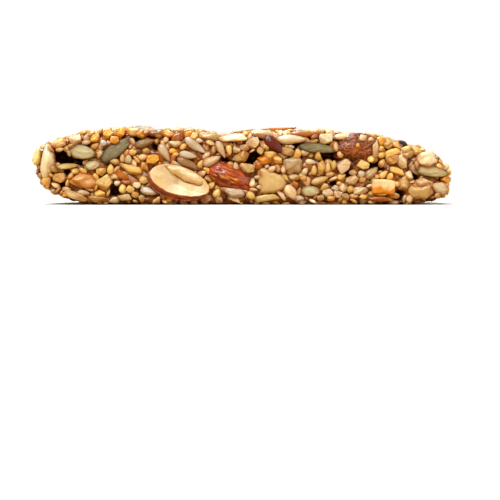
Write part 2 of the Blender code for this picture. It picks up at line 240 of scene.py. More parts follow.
form = bar_form(FORM_CELLS, 0.0)
form_tree = BVHTree.FromBMesh(form)
print("outline of", len(form.verts), "points")

# %% [markdown]
# ## Where a piece lies
# A piece is an ellipsoid as far as packing goes: a middle, three directions and three half sizes. Its
# length lies along its X, its width along its Y, and its thickness faces out of the bar. These helpers are
# the ones that placed the plain solids, so the large pieces come out in the same places.

# %% Placing helpers
UP = Vector((0, 0, 1))


def spot_on(side, across, up):
    """Point and normal where a line straight into that side meets the bar's form, or else the nearest."""
    facing = SIDES[side][0]
    if side in ("front", "back"):
        aim = Vector((across, 0, up))
    elif side in ("top", "under"):
        aim = Vector((across, up, HEIGHT / 2))
    else:
        aim = Vector((0, across, up))
    start = aim + facing * LENGTH
    point, normal, _, _ = form_tree.ray_cast(start, -facing)
    if point is None:
        point, normal, _, _ = form_tree.find_nearest(aim + facing * WIDTH / 2)
    return point, normal


def axes_at(side, normal, turn, roll=0.0):
    """Rotation whose X is the piece's length, Y its width and Z its thickness, which faces outwards."""
    along = SIDES[side][1]
    across = (along - normal * along.dot(normal)).normalized()
    base = Matrix((across, normal.cross(across), normal)).transposed()
    return base @ Matrix.Rotation(turn, 3, "Z") @ Matrix.Rotation(roll, 3, "X")


def reach(size, axes, direction):
    """Half of an ellipsoid's extent along a direction."""
    local = axes.transposed() @ direction
    return math.sqrt(sum((half * part) ** 2 for half, part in zip(size, local)))


def kept_inside(centre, size, axes, proud):
    """The centre, moved in where the piece would stand out past the bar's outline or reach its underside."""
    _, high, front, back = section(2 * centre.x / LENGTH)
    lowest = UNDERSIDE_CLEARANCE + proud
    limits = ((-LENGTH / 2, LENGTH / 2), (front, back), (lowest, high))
    for axis, (least, most) in enumerate(limits):
        half = reach(size, axes, Vector([float(i == axis) for i in range(3)]))
        centre[axis] = min(centre[axis], most + proud - half)
        centre[axis] = max(centre[axis], least - proud + half)
    return centre


print("a point on the front:", spot_on("front", 0, HEIGHT / 2)[0])

# %% [markdown]
# ## Colours
# Toasted seeds are close in hue and far apart in lightness. Each kind gets a few tones, and each seed takes
# one of them with a little of its own. The values are the usual 0 to 255 screen ones, which are easier to
# judge than the linear ones that Blender works in.

# %% Tones


def linear(value):
    return ((value / 255 + 0.055) / 1.055) ** 2.4 if value > 10 else value / 255 / 12.92


def paint(red, green, blue):
    """The linear colour of screen values from 0 to 255."""
    return (linear(red), linear(green), linear(blue))


TONES = {
    "gold": paint(232, 200, 116),
    "honey": paint(212, 174, 100),
    "tan": paint(216, 189, 130),
    "cream": paint(235, 221, 182),
    "peach": paint(233, 213, 172),
    "butter": paint(242, 222, 146),
    "pink": paint(218, 197, 162),
    # grey is lifted nearly to white, so the pieces that take it are partly painted highlights.
    "grey": paint(231, 225, 208),
    "slate": paint(160, 164, 128),
    "olive": paint(140, 98, 10),
    "moss": paint(134, 132, 94),
    "leaf": paint(200, 194, 152),
    "lime": paint(214, 196, 112),
    "orange": paint(238, 182, 66),
    "amber": paint(192, 122, 40),
    "brown": paint(150, 116, 74),
    "russet": paint(104, 24, 2),
    "biscuit": paint(214, 184, 124),
    "bark": paint(140, 132, 92),
    "taupe": paint(180, 150, 104),
    "caramel": paint(206, 148, 76),
    "raisin": paint(52, 24, 12),
}
print(len(TONES), "tones")

# %% [markdown]
# ## Materials
# Each finish is a Principled shader. The colour comes from the seed's own tone, a mottle that only this
# seed has, and an amber darkening that is toffee and painted shade in one. That darkening is the same for
# all of them, so it is a node group: it takes a colour and darkens it the deeper the surface lies under the
# bar's outline, where pieces meet and on their lower sides.

# %% Node helpers


def link(tree, source, target):
    tree.links.new(source, target)


def node(tree, kind, **values):
    """A node with its properties set."""
    made = tree.nodes.new(kind)
    for name, value in values.items():
        setattr(made, name, value)
    return made


def read(tree, name, output="Fac"):
    """The socket of a mesh attribute."""
    return node(tree, "ShaderNodeAttribute", attribute_name=name).outputs[output]


def blend(tree, amount, first, second, mode="MIX"):
    """Mixes two colours, each a socket or a value."""
    mix = node(tree, "ShaderNodeMix", data_type="RGBA", blend_type=mode)
    for socket, value in ((mix.inputs[0], amount), (mix.inputs[6], first), (mix.inputs[7], second)):
        if isinstance(value, bpy.types.NodeSocket):
            link(tree, value, socket)
        elif isinstance(value, tuple):
            socket.default_value = (*value, 1.0)
        else:
            socket.default_value = value
    return mix.outputs[2]


def spread(tree, value, low, high, to_low=0.0, to_high=1.0):
    """Maps a value from one range to another, clamped."""
    made = node(tree, "ShaderNodeMapRange")
    link(tree, value, made.inputs["Value"])
    made.inputs["From Min"].default_value = low
    made.inputs["From Max"].default_value = high
    made.inputs["To Min"].default_value = to_low
    made.inputs["To Max"].default_value = to_high
    return made.outputs["Result"]


def speckle(tree, vector, scale, detail=2.0, distortion=0.0):
    """A noise value, at a scale in blobs for each metre."""
    made = node(tree, "ShaderNodeTexNoise")
    link(tree, vector, made.inputs["Vector"])
    made.inputs["Scale"].default_value = scale
    made.inputs["Detail"].default_value = detail
    made.inputs["Distortion"].default_value = distortion
    return made.outputs["Fac"]


def build_toffee_and_shade_group():
    """Mottles a seed, darkens it with toffee and painted shade where it lies deep, gives a coat and a bump
    height.
    """
    group = bpy.data.node_groups.new("toffee_and_shade_coat", "ShaderNodeTree")
    sockets = group.interface
    sockets.new_socket("Tone", in_out="INPUT", socket_type="NodeSocketColor")
    sockets.new_socket("Mottle", in_out="INPUT", socket_type="NodeSocketFloat")
    sockets.new_socket("Shallow", in_out="INPUT", socket_type="NodeSocketFloat")
    sockets.new_socket("Deep", in_out="INPUT", socket_type="NodeSocketFloat")
    sockets.new_socket("Color", in_out="OUTPUT", socket_type="NodeSocketColor")
    sockets.new_socket("Coat", in_out="OUTPUT", socket_type="NodeSocketFloat")
    sockets.new_socket("Height", in_out="OUTPUT", socket_type="NodeSocketFloat")
    given = group.nodes.new("NodeGroupInput")
    result = group.nodes.new("NodeGroupOutput")
    place = node(group, "ShaderNodeTexCoord").outputs["Object"]
    own = read(group, "own", "Vector")
    # Contact and underside darkening: partly toffee and partly painted shade.
    touching = read(group, "toffee_and_shade")
    coarse = speckle(group, own, 700.0, 3.0, 0.6)
    fine = speckle(group, own, 3200.0, 2.0)
    patches = speckle(group, place, 260.0, 3.0, 1.0)

    light_share = node(group, "ShaderNodeMath", operation="MULTIPLY")
    link(group, spread(group, coarse, 0.35, 0.7), light_share.inputs[0])
    link(group, given.outputs["Mottle"], light_share.inputs[1])
    toasted = blend(group, 1.0, given.outputs["Tone"], paint(232, 196, 150), "MULTIPLY")
    mottled = blend(group, light_share.outputs[0], given.outputs["Tone"], toasted)

    shift = spread(group, patches, 0.3, 0.7, -0.0007, 0.0007)
    depth = node(group, "ShaderNodeMath", operation="ADD")
    link(group, read(group, "depth"), depth.inputs[0])
    link(group, shift, depth.inputs[1])
    # Painted shade as well as toffee: the deeper a seed lies under the outline, the darker it gets.
    depth_toffee_and_shade = node(group, "ShaderNodeMapRange", interpolation_type="SMOOTHSTEP")
    link(group, depth.outputs[0], depth_toffee_and_shade.inputs["Value"])
    link(group, given.outputs["Shallow"], depth_toffee_and_shade.inputs["From Min"])
    link(group, given.outputs["Deep"], depth_toffee_and_shade.inputs["From Max"])
    # rim is the stronger of the depth darkening and the contact darkening.
    rim = node(group, "ShaderNodeMath", operation="MAXIMUM")
    link(group, depth_toffee_and_shade.outputs["Result"], rim.inputs[0])
    link(group, touching, rim.inputs[1])
    # The amber multiply is the toffee's colour and the painted shade at once.
    amber = blend(group, 1.0, mottled, paint(194, 118, 28), "MULTIPLY")
    toffee_and_shade_coloured = blend(group, rim.outputs[0], mottled, amber)
    link(group, toffee_and_shade_coloured, result.inputs["Color"])
    link(group, spread(group, rim.outputs[0], 0.0, 1.0, 0.15, 0.5), result.inputs["Coat"])
    height = node(group, "ShaderNodeMath", operation="ADD")
    link(group, fine, height.inputs[0])
    link(group, spread(group, coarse, 0.3, 0.7, -0.5, 0.5), height.inputs[1])
    link(group, height.outputs[0], result.inputs["Height"])
    return group


toffee_and_shade_coat = build_toffee_and_shade_group()


def own_colour(tree):
    """The tone that each point of the mesh carries."""
    return read(tree, "tone", "Color")


def glazed_and_shaded(
    name,
    mottle,
    glow,
    bump=0.15,
    roughness=(0.22, 0.42),
    shallow=0.7,
    deep=2.5,
    rim=None,
    colour_of=own_colour,
):
    """A seed or nut finish: its colour, under a glaze and painted shade that grow stronger where the piece
    lies deep.

    rim is a colour that the piece's own is multiplied by where the mesh is marked.
    """
    material = bpy.data.materials.new(name)
    material.use_nodes = True
    tree = material.node_tree
    shader = tree.nodes["Principled BSDF"]
    toffee = node(tree, "ShaderNodeGroup", node_tree=toffee_and_shade_coat)
    tone = colour_of(tree)
    if rim:
        tone = blend(tree, read(tree, "mark"), tone, blend(tree, 1.0, tone, rim, "MULTIPLY"))
    link(tree, tone, toffee.inputs["Tone"])
    toffee.inputs["Mottle"].default_value = mottle
    # Between shallow and deep, the glaze and the painted shade grow to full.
    toffee.inputs["Shallow"].default_value = shallow * MM
    toffee.inputs["Deep"].default_value = deep * MM
    link(tree, toffee.outputs["Color"], shader.inputs["Base Color"])
    smooth, rough = roughness
    link(tree, spread(tree, toffee.outputs["Height"], 0.1, 0.9, smooth, rough), shader.inputs["Roughness"])
    height = node(tree, "ShaderNodeBump")
    height.inputs["Strength"].default_value = bump
    height.inputs["Distance"].default_value = 0.3 * MM
    link(tree, toffee.outputs["Height"], height.inputs["Height"])
    link(tree, height.outputs["Normal"], shader.inputs["Normal"])
    shader.inputs["Subsurface Weight"].default_value = glow
    shader.inputs["Subsurface Radius"].default_value = (1.0, 0.5, 0.2)
    shader.inputs["Subsurface Scale"].default_value = 0.8 * MM
    link(tree, toffee.outputs["Coat"], shader.inputs["Coat Weight"])
    shader.inputs["Coat Roughness"].default_value = 0.1
    shader.inputs["IOR"].default_value = 1.47
    return material


# %% [markdown]
# ## Modelling one seed
# A seed starts as a ball with its poles at the seed's two ends. Edit mode pulls one end out, and modifiers
# narrow it, curve it and dent it. The modifiers are applied, because the copies need plain points and
# faces.

# %% Modelling helpers


def begin():
    bpy.ops.object.select_all(action="DESELECT")


def ball(name, size, segments, rings):
    """A ball of that length, width and thickness, with its poles along X."""
    begin()
    bpy.ops.mesh.primitive_uv_sphere_add(
        segments=segments, ring_count=rings, radius=0.5, rotation=(0, math.pi / 2, 0)
    )
    piece = bpy.context.object
    piece.name = name
    piece.scale = (size[2] * MM, size[1] * MM, size[0] * MM)
    bpy.ops.object.transform_apply(location=False, rotation=True, scale=True)
    return piece


def edit(piece):
    bpy.context.view_layer.objects.active = piece
    bpy.ops.object.mode_set(mode="EDIT")


def leave():
    bpy.ops.object.mode_set(mode="OBJECT")


def select(piece, wanted):
    """In edit mode, selects the points for which wanted(point) is true."""
    bm = bmesh.from_edit_mesh(piece.data)
    bpy.ops.mesh.select_all(action="DESELECT")
    for vert in bm.verts:
        vert.select = wanted(vert.co)
    bm.select_flush(True)
    bmesh.update_edit_mesh(piece.data)


def apply_modifier(piece, kind, **values):
    bpy.context.view_layer.objects.active = piece
    modifier = piece.modifiers.new(kind.lower(), kind)
    for name, value in values.items():
        setattr(modifier, name, value)
    bpy.ops.object.modifier_apply(modifier=modifier.name)


def clouds(name, size):
    """A cloud texture for a Displace modifier."""
    texture = bpy.data.textures.get(name) or bpy.data.textures.new(name, "CLOUDS")
    texture.noise_scale = size
    return texture


def dent(piece, name, size, depth):
    """Moves a piece's points in and out by a cloud texture of that size."""
    texture = clouds(name, size)
    apply_modifier(piece, "DISPLACE", texture=texture, strength=depth, mid_level=0.5, texture_coords="LOCAL")


def as_master(piece, mark=None):
    """Takes the finished shape off its object: points in half sizes, faces, marks and smooth faces."""
    mesh = piece.data
    points = np.empty(len(mesh.vertices) * 3)
    mesh.vertices.foreach_get("co", points)
    points = points.reshape(-1, 3)
    middle = (points.max(0) + points.min(0)) / 2
    points -= middle
    half = points.max(0)
    marks = np.array([mark(Vector(point / half)) if mark else 0.0 for point in points])
    faces = [tuple(face.vertices) for face in mesh.polygons]
    smooth = [face.use_smooth for face in mesh.polygons]
    bpy.data.objects.remove(piece)
    return {"points": points / half, "faces": faces, "marks": marks, "smooth": smooth}


# %% [markdown]
# ### Sesame
# A sesame seed is a flat drop, 3 mm long. It could be sculpted finely, but more than a thousand copies are
# needed, so it has only a few dozen faces, and smooth shading hides them. Three that are bent in different
# ways are enough.

# %% Sesame
def sesame(bend, taper):
    """A flat drop: the last point of a ball is pulled out to its tip."""
    seed = ball("sesame", (2.7, 2.0, 1.15), 8, 6)
    edit(seed)
    select(seed, lambda co: co.x > 1.3 * MM)
    bpy.ops.transform.translate(value=(0.15 * MM, 0, 0))
    leave()
    apply_modifier(seed, "SIMPLE_DEFORM", deform_method="TAPER", factor=-taper, deform_axis="X")
    apply_modifier(seed, "SIMPLE_DEFORM", deform_method="BEND", angle=bend, deform_axis="Z")
    bpy.ops.object.shade_smooth()
    return as_master(seed)


SESAMES = [sesame(0.25, 0.5), sesame(0.0, 0.35), sesame(-0.35, 0.65)]
print("sesame:", len(SESAMES[0]["faces"]), "faces")


# %% [markdown]
# ### Sunflower kernel
# A hulled kernel is a long drop with shallow dents. A turned profile would be too regular, so a ball is
# tapered, bent and dented by a cloud texture.

# %% Sunflower kernel
def kernel(bend, taper):
    """A long drop with shallow dents."""
    seed = ball("kernel", (7.0, 3.2, 2.1), 12, 10)
    edit(seed)
    select(seed, lambda co: co.x > 3.4 * MM)
    bpy.ops.transform.translate(value=(0.4 * MM, 0, 0))
    leave()
    apply_modifier(seed, "SIMPLE_DEFORM", deform_method="TAPER", factor=-taper, deform_axis="X")
    apply_modifier(seed, "SIMPLE_DEFORM", deform_method="BEND", angle=bend, deform_axis="Z")
    dent(seed, "kernel_dents", 1.6 * MM, 0.35 * MM)
    bpy.ops.object.shade_smooth()
    return as_master(seed)


KERNELS = [kernel(0.3, 0.7), kernel(-0.2, 0.5), kernel(0.1, 0.9)]
print("kernel:", len(KERNELS[0]["faces"]), "faces")


# %% [markdown]
# ### Pumpkin seed
# A pumpkin seed is a flat oval whose edge stands up as a thin rim. The rim could be a ring of its own, but
# pressing in the middle of both faces leaves it standing with no seam. It is marked too, because its colour
# is darker.

# %% Pumpkin seed
def pumpkin(bend, taper):
    """A flat oval with a raised rim: the broad faces of a ball are pressed in, and its edge stays."""
    seed = ball("pumpkin", (11.4, 6.0, 2.2), 24, 14)
    edit(seed)
    select(seed, lambda co: abs(co.z) > 0.72 * MM)
    bpy.ops.transform.resize(value=(1, 1, 0.62))
    leave()
    apply_modifier(seed, "SIMPLE_DEFORM", deform_method="TAPER", factor=-taper, deform_axis="X")
    apply_modifier(seed, "SIMPLE_DEFORM", deform_method="BEND", angle=bend, deform_axis="Y")
    dent(seed, "pumpkin_dents", 2.0 * MM, 0.55 * MM)
    bpy.ops.object.shade_smooth()
    return as_master(seed, lambda co: min(1.0, max(0.0, (math.hypot(co.x, co.y) - 0.72) / 0.2)))


PUMPKINS = [pumpkin(0.25, 0.55), pumpkin(-0.35, 0.4)]
print("pumpkin:", len(PUMPKINS[0]["faces"]), "faces")


# %% [markdown]
# ### Chopped nut
# A knife leaves lumps with a few flat sides. A ball roughened by noise looks like gravel, so a block is cut
# by random planes instead. Then its edges are bevelled, and it is drawn towards a ball, as crumbs wear in
# the pan.

# %% Chopped nut
def chopped(seed, size, cuts, keep, edge, segments, roundness):
    """A block that a few flat cuts make angular, as a knife does, with soft edges."""
    draw = np.random.default_rng(seed)
    begin()
    bpy.ops.mesh.primitive_cube_add(size=1.0)
    piece = bpy.context.object
    piece.name = "chopped"
    piece.scale = [value * MM for value in size]
    bpy.ops.object.transform_apply(location=False, rotation=False, scale=True)
    edit(piece)
    for _ in range(cuts):
        way = Vector(draw.normal(size=3)).normalized()
        half = reach(Vector(size) * MM / 2, Matrix.Identity(3), way)
        place = way * half * (keep + 0.25 * draw.random())
        bpy.ops.mesh.select_all(action="SELECT")
        bpy.ops.mesh.bisect(plane_co=place, plane_no=way, use_fill=True, clear_outer=True)
    bpy.ops.mesh.select_all(action="SELECT")
    bpy.ops.mesh.remove_doubles(threshold=0.08 * min(size) * MM)
    leave()
    apply_modifier(piece, "BEVEL", width=edge * MM, segments=segments, limit_method="ANGLE", angle_limit=0.3)
    apply_modifier(piece, "CAST", cast_type="SPHERE", factor=roundness)
    dent(piece, "chopped_dents", 1.4 * MM, 0.22 * min(size) * MM)
    bpy.ops.object.shade_smooth()
    if seed % 4 == 0:
        for face in piece.data.polygons:
            face.use_smooth = face.area < 0.05 * size[0] * size[1] * MM * MM
    return as_master(piece)


CHUNKS = [chopped(seed, (4.4, 3.4, 2.9), 8, 0.66, 0.6, 2, 0.55) for seed in range(1, 8)]
SLIVERS = [chopped(seed, (6.6, 2.6, 1.9), 7, 0.66, 0.25, 1, 0.35) for seed in range(21, 25)]
CRUMBS = [chopped(seed, (2.6, 2.1, 1.8), 6, 0.66, 0.2, 1, 0.5) for seed in range(31, 36)]
print("chopped:", [len(master["faces"]) for master in CHUNKS + SLIVERS + CRUMBS], "faces")

# %% [markdown]
# ## The large nuts and fruits
# Each is as large as a berry and has a solid of its own, so each is modelled by itself. The table repeats
# where the plain solids lie. The halves, the lumps and the cubes start from the same simple forms as those
# solids, with many more faces, and then get what makes them real: a germ, a skin, wrinkles or a broken
# edge.

# %% Table of the large pieces
# (name, form, side, place in mm, length, width and thickness in mm, turn in degrees)
NUTS = (
    ("front_split_almond", "half", "front", (-18.4, 6.4), (18.6, 9.8, 7.0), -15),
    ("front_whole_almond", "almond", "front", (-3.0, 7.8), (15.6, 7.2, 6.4), -22),
    ("front_pale_nut", "shard", "front", (9.1, 6.8), (8.6, 7.6, 5.0), -6),
    ("front_brown_nut", "chunk", "front", (15.2, 11.4), (6.2, 5.8, 5.0), 35),
    ("front_date_piece", "date", "front", (33.6, 16.7), (13.4, 7.6, 6.2), 6),
    ("front_fruit_cube", "cube", "front", (41.5, 5.2), (7.0, 4.6, 5.0), -3),
    ("front_toffee_nut", "chunk", "front", (-46.8, 7.2), (8.9, 5.0, 5.0), -4),
    ("left_end_nut", "bowed", "front", (-57.8, 12.3), (10.8, 4.6, 4.6), 83),
    ("right_cream_nut", "chunk", "front", (54.9, 13.4), (6.8, 5.4, 5.0), -20),
    ("right_low_nut", "chunk", "front", (53.4, 4.2), (7.4, 5.4, 5.0), 15),
    ("top_whole_almond", "almond", "top", (-31.0, 4.0), (19.5, 9.5, 7.0), 28),
    ("top_split_almond", "half", "top", (9.0, -5.5), (18.0, 9.6, 6.6), -38),
    ("top_date_piece", "date", "top", (33.0, 7.0), (12.5, 8.0, 6.0), -20),
    ("top_fruit_cube", "cube", "top", (-9.0, 9.5), (6.4, 5.6, 4.6), 24),
    ("back_whole_almond", "almond", "back", (27.0, 9.0), (18.5, 9.0, 6.8), 17),
    ("back_split_almond", "half", "back", (-27.0, 12.0), (18.2, 9.4, 6.6), -24),
    ("back_pale_nut", "slab", "back", (2.0, 8.0), (9.0, 7.4, 5.0), 40),
    ("back_date_piece", "date", "back", (-46.0, 9.0), (10.5, 6.6, 5.6), 12),
    ("under_split_almond", "half", "under", (-22.0, 6.0), (18.4, 9.6, 6.4), 33),
    ("under_pale_nut", "half", "under", (26.0, -6.0), (13.0, 9.0, 5.2), -55),
)
CUT_LEVEL = 0.1  # how high the cut face of a half almond lies, as a share of its half thickness


def nut_places():
    """Middle, half sizes and axes of each large piece, as its solid has them."""
    places = {}
    for name, shape, side, (across, up), sizes, turn in NUTS:
        size = Vector(sizes) * MM / 2
        point, normal = spot_on(side, across * MM, up * MM)
        axes = axes_at(side, normal, math.radians(turn))
        if shape == "half":
            sunk = CUT_LEVEL * size.z - (0.0 if side == "under" else NUT_PROUD)
        else:
            sunk = size.z - NUT_PROUD
        centre = point - normal * sunk
        if side == "under":
            centre.z = CUT_LEVEL * size.z
        elif shape != "half":
            centre = kept_inside(centre, size, axes, NUT_PROUD)
        places[name] = (centre, size, axes)
    return places


PLACES = nut_places()
print(len(PLACES), "large pieces")


# %% Moulding helpers
def mould(piece, move):
    """Moves each point of a mesh of half size 1 to move(point)."""
    for vert in piece.data.vertices:
        vert.co = move(vert.co.copy())


def unit_ball(name, segments, rings):
    return ball(name, (2 / MM, 2 / MM, 2 / MM), segments, rings)


def egg_slim(x, taper, pinch):
    """How much narrower an egg is than a ball at that place along it."""
    return (1 - taper * x) * (1 - pinch * max(x, 0.0) ** 2)


def bell(value):
    return math.exp(-value * value)


def eased(value):
    """0 up to 0, 1 from 1, and smooth between them."""
    value = min(max(value, 0.0), 1.0)
    return value * value * (3 - 2 * value)


def ridged(co, frequency, phase):
    """A noise from -1 to 1 with sharp valleys."""
    return 1 - 2 * abs(noise.noise(co * frequency + Vector((phase, phase, -phase))))


def knife(seed, count, keep):
    """The planes of a few random flat cuts, as directions and distances from the middle."""
    chance = np.random.default_rng(seed)
    ways = [Vector(chance.normal(size=3)).normalized() for _ in range(count)]
    return [(way, keep + 0.15 * chance.random()) for way in ways]


def pared(co, cuts):
    """The point, pressed back to each cut that it lies beyond."""
    for way, limit in cuts:
        over = co.dot(way) - limit
        if over > 0:
            co = co - way * over * 0.8
    return co


# %% [markdown]
# ### Whole almond
# An almond is an egg, pinched towards its tip, with fine ridges along its skin. A bump map would give the
# ridges, but not the broken outline and glints that they make, so they are moulded into a ball of many
# faces.

# %% Whole almond
def whole_almond(phase):
    """An egg with the lengthwise ridges of almond skin."""
    piece = unit_ball("almond", 80, 56)

    def move(co):
        slim = egg_slim(co.x, 0.2, 0.25)
        around = Vector((0.8 * co.x, 3.2 * co.y, 3.2 * co.z))
        ridge = 0.06 * ridged(around, 1.5, phase) + 0.045 * ridged(around, 4.0, phase)
        dent = 0.08 * noise.noise(co * 1.6 + Vector((phase, 0, 0)))
        share = 1 + (ridge + dent) * (1 - co.x**4)
        return Vector((co.x, co.y * slim * share, co.z * slim * share))

    mould(piece, move)
    return piece, None


# %% [markdown]
# ### Split almond
# The cut face of a half almond is dished, and the germ lies on it as a raised tongue with a groove round
# it. The skin shows round the edge as a brown line. The germ could be a piece of its own, but it has grown
# out of the flesh, so both are moulded in one surface, and marks tell the finish where the skin is and
# where the groove and the valley under the germ get a painted shade of brown.

# %% Split almond
ALMOND_HALF = (9.3, 4.9)  # half the length and half the width of the front one, in mm
GERM_MIDDLE = (0.12, 0.56)  # as shares of those
GERM_WAY = (0.99, 0.137)  # the direction of the germ
GERM_LENGTH = 5.5  # half of it, in mm
GERM_WIDTH = 1.5


def germ_level(x, y):
    """1 on the rim of the germ, which lies along the upper half of the cut face, and less inside it."""
    along = ALMOND_HALF[0] * (x - GERM_MIDDLE[0])
    over = ALMOND_HALF[1] * (y - GERM_MIDDLE[1])
    a = (GERM_WAY[0] * along - GERM_WAY[1] * over) / GERM_LENGTH
    wobble = 0.16 * math.sin(7.0 * a + 0.6) + 0.08 * math.sin(17.0 * a)
    b = (GERM_WAY[1] * along + GERM_WAY[0] * over + wobble) / (GERM_WIDTH - 0.6 * min(max(-a, 0), 1) ** 2)
    blunt = a**2 if a < 0 else a**4
    return math.sqrt(blunt + b * b), b


def split_almond(phase):
    """Half an almond: a dished face with a raised germ, a valley under it, and skin round its edge."""
    piece = unit_ball("half", 120, 84)
    marks = []

    def move(co):
        slim = egg_slim(co.x, 0.08, 0.05)
        fold = 1 + 0.02 * ridged(Vector((co.x, 3 * co.y, 3 * co.z)), 1.8, phase) * (1 - co.x**4)
        torn = 0.03 * noise.noise(Vector((5 * co.x, 5 * co.y, -phase)))
        rim = math.hypot((co.x - 0.02) / 0.965, (co.y - 0.14 + 0.05 * co.x) / 0.83) + torn
        if co.z <= CUT_LEVEL:
            marks.append(1.0)
            return Vector((co.x, co.y * slim * fold, co.z * slim * fold))
        if rim > 1:
            marks.append(1.0)
            return Vector((co.x, co.y * slim, CUT_LEVEL * slim - 0.9 * (rim - 1)))
        away, below = germ_level(co.x, co.y)
        rough = noise.noise(Vector((6 * co.x, 9 * co.y, phase)))
        germ = 0.34 * max(0.0, 1 - away * away) ** 0.4 + 0.04 * rough * eased(1.3 - away)
        groove = bell((away - 1.08) / 0.11) * eased(0.5 - below) * eased((1.0 - rim) / 0.12)
        valley = bell(math.hypot((co.x + 0.14 - 0.35 * co.y) / 0.3, (co.y + 0.22) / 0.5))
        waves = 0.07 * noise.noise(Vector((1.7 * co.x, 2.2 * co.y, phase)))
        waves += 0.02 * noise.noise(Vector((9 * co.x, 6 * co.y, phase)))
        dish = 0.38 * (1 - rim * rim)
        lip = 0.04 * eased((1 - rim) / 0.05)
        # Marks below a half paint shade into the groove and into the valley under the germ.
        marks.append(0.45 * groove * eased(0.9 - abs(co.x - 0.16)) + 0.14 * valley)
        level = CUT_LEVEL + lip + germ - 0.14 * groove - 0.12 * valley + waves - dish
        return Vector((co.x, co.y * slim, level))

    mould(piece, move)
    return piece, marks


# %% [markdown]
# ### Lumps and blocks
# The date is a wrinkled lump, and the larger nuts are lumps that a knife has pared. The fruit cube, the
# pale nut at the back and the bent nut at the left end are blocks. They could be sculpted, but a noise that
# is sharp in its valleys folds skin well, and pressing points back to a plane gives the flat of a cut.

# %% Lumps and blocks
def lump(name, roughness, phase, detail, wrinkle, frequency, cuts=()):
    """An irregular lump: the solid's own coarse form, and finer folds or facets over it."""
    begin()
    bpy.ops.mesh.primitive_ico_sphere_add(subdivisions=detail, radius=1.0)
    piece = bpy.context.object
    piece.name = name
    shift = Vector((phase, -phase, 0.5 * phase))

    def move(co):
        coarse = 1 + roughness * noise.noise(co * 1.3 + shift)
        fine = wrinkle * ridged(co, frequency, phase) + 0.4 * wrinkle * ridged(co, 2.3 * frequency, phase)
        return pared(co * (coarse - wrinkle * 0.6), cuts) + co * fine

    mould(piece, move)
    return piece, None


def block(name, bevel, softness, roughness, phase, cuts=()):
    """A cut piece: a cube with its edges taken off and uneven sides. Its marks rise from edge to edge."""
    begin()
    bpy.ops.mesh.primitive_cube_add(size=2.0)
    piece = bpy.context.object
    piece.name = name
    apply_modifier(piece, "BEVEL", width=bevel, segments=1, limit_method="NONE")
    apply_modifier(piece, "BEVEL", width=softness, segments=3, limit_method="ANGLE", angle_limit=0.3)
    edit(piece)
    bpy.ops.mesh.select_all(action="SELECT")
    bpy.ops.mesh.subdivide(number_cuts=7)
    leave()

    def move(co):
        rough = roughness * noise.noise(co * 1.3 + Vector((phase, 0, -phase)))
        grain = 0.2 * roughness * noise.noise(co * 5.0 + Vector((0, phase, 0)))
        return pared(co * (1 + rough - 0.5 * roughness), cuts) + co * grain

    mould(piece, move)
    # On the fruit cube these marks make it paler towards one side, the top of the front one: painted light.
    return piece, [(vert.co.y + 1) / 2 for vert in piece.data.vertices]


# %% [markdown]
# ### The broken pale nut
# This nut has snapped, so its outline has corners. It could be an extruded polygon, but that would have
# hard edges all round. So a ball is pressed flat and stretched out to the polygon, which keeps a soft edge.

# %% The broken pale nut
SHARD = ((1.0, 0.0), (0.84, 0.42), (0.3, 0.62), (-0.3, 0.72), (-0.62, 1.0), (-1.0, 0.96), (-0.98, 0.1))
SHARD += ((-0.84, -0.5), (-0.72, -1.0), (-0.1, -0.92), (0.62, -0.62), (0.94, -0.3))


def shard(phase):
    """A flat broken piece: a ball pressed flat, whose outline is the polygon of its corners."""
    piece = unit_ball("shard", 80, 56)
    turns = [math.atan2(y, x) % math.tau for x, y in SHARD]
    order = np.argsort(turns)
    angles = [turns[i] for i in order]
    lengths = [math.hypot(*SHARD[i]) for i in order]

    def move(co):
        radius = math.hypot(co.x, co.y)
        wide = np.interp(math.atan2(co.y, co.x) % math.tau, angles, lengths, period=math.tau)
        thick = math.copysign(math.sqrt(max(0.0, 1 - radius**6)), co.z)
        face = 0.14 * noise.noise(Vector((1.6 * co.x, 1.6 * co.y, phase))) + 0.03 * noise.noise(co * 6.0)
        return Vector((co.x * wide, co.y * wide, 0.85 * thick + face * (1 - radius)))

    mould(piece, move)
    return piece, None


# %% The form of each large piece
def shape_nut(shape, phase):
    """The mesh of a large piece in half sizes, and the mark of each of its points."""
    if shape == "almond":
        return whole_almond(phase)
    if shape == "half":
        return split_almond(phase)
    if shape == "cube":
        return block("cube", 0.2, 0.07, 0.1, phase)
    if shape == "shard":
        return shard(phase)
    if shape == "slab":
        return block("slab", 0.5, 0.12, 0.08, phase, knife(phase, 5, 0.92))
    if shape == "bowed":
        piece, marks = block("bowed", 0.6, 0.3, 0.1, phase)
        mould(piece, lambda co: Vector((co.x, 0.88 * co.y - 0.14 + 0.28 * co.x**2, co.z)))
        return piece, marks
    if shape == "date":
        return lump("date", 0.3, phase, 6, 0.075, 4.2)
    return lump("chunk", 0.4, phase, 5, 0.012, 2.4, knife(phase, 9, 0.8))


print(sorted({shape for _, shape, *_ in NUTS}))

# %% [markdown]
# ## Finishes of the seeds
# One finish could serve every small piece, but sesame is waxy and lets light through, and the skin of a
# pumpkin seed is dull. So each kind has its own amount of mottle, gloss, bump and glow. The rim of a
# pumpkin seed is darker, and the mark attribute says where it is.

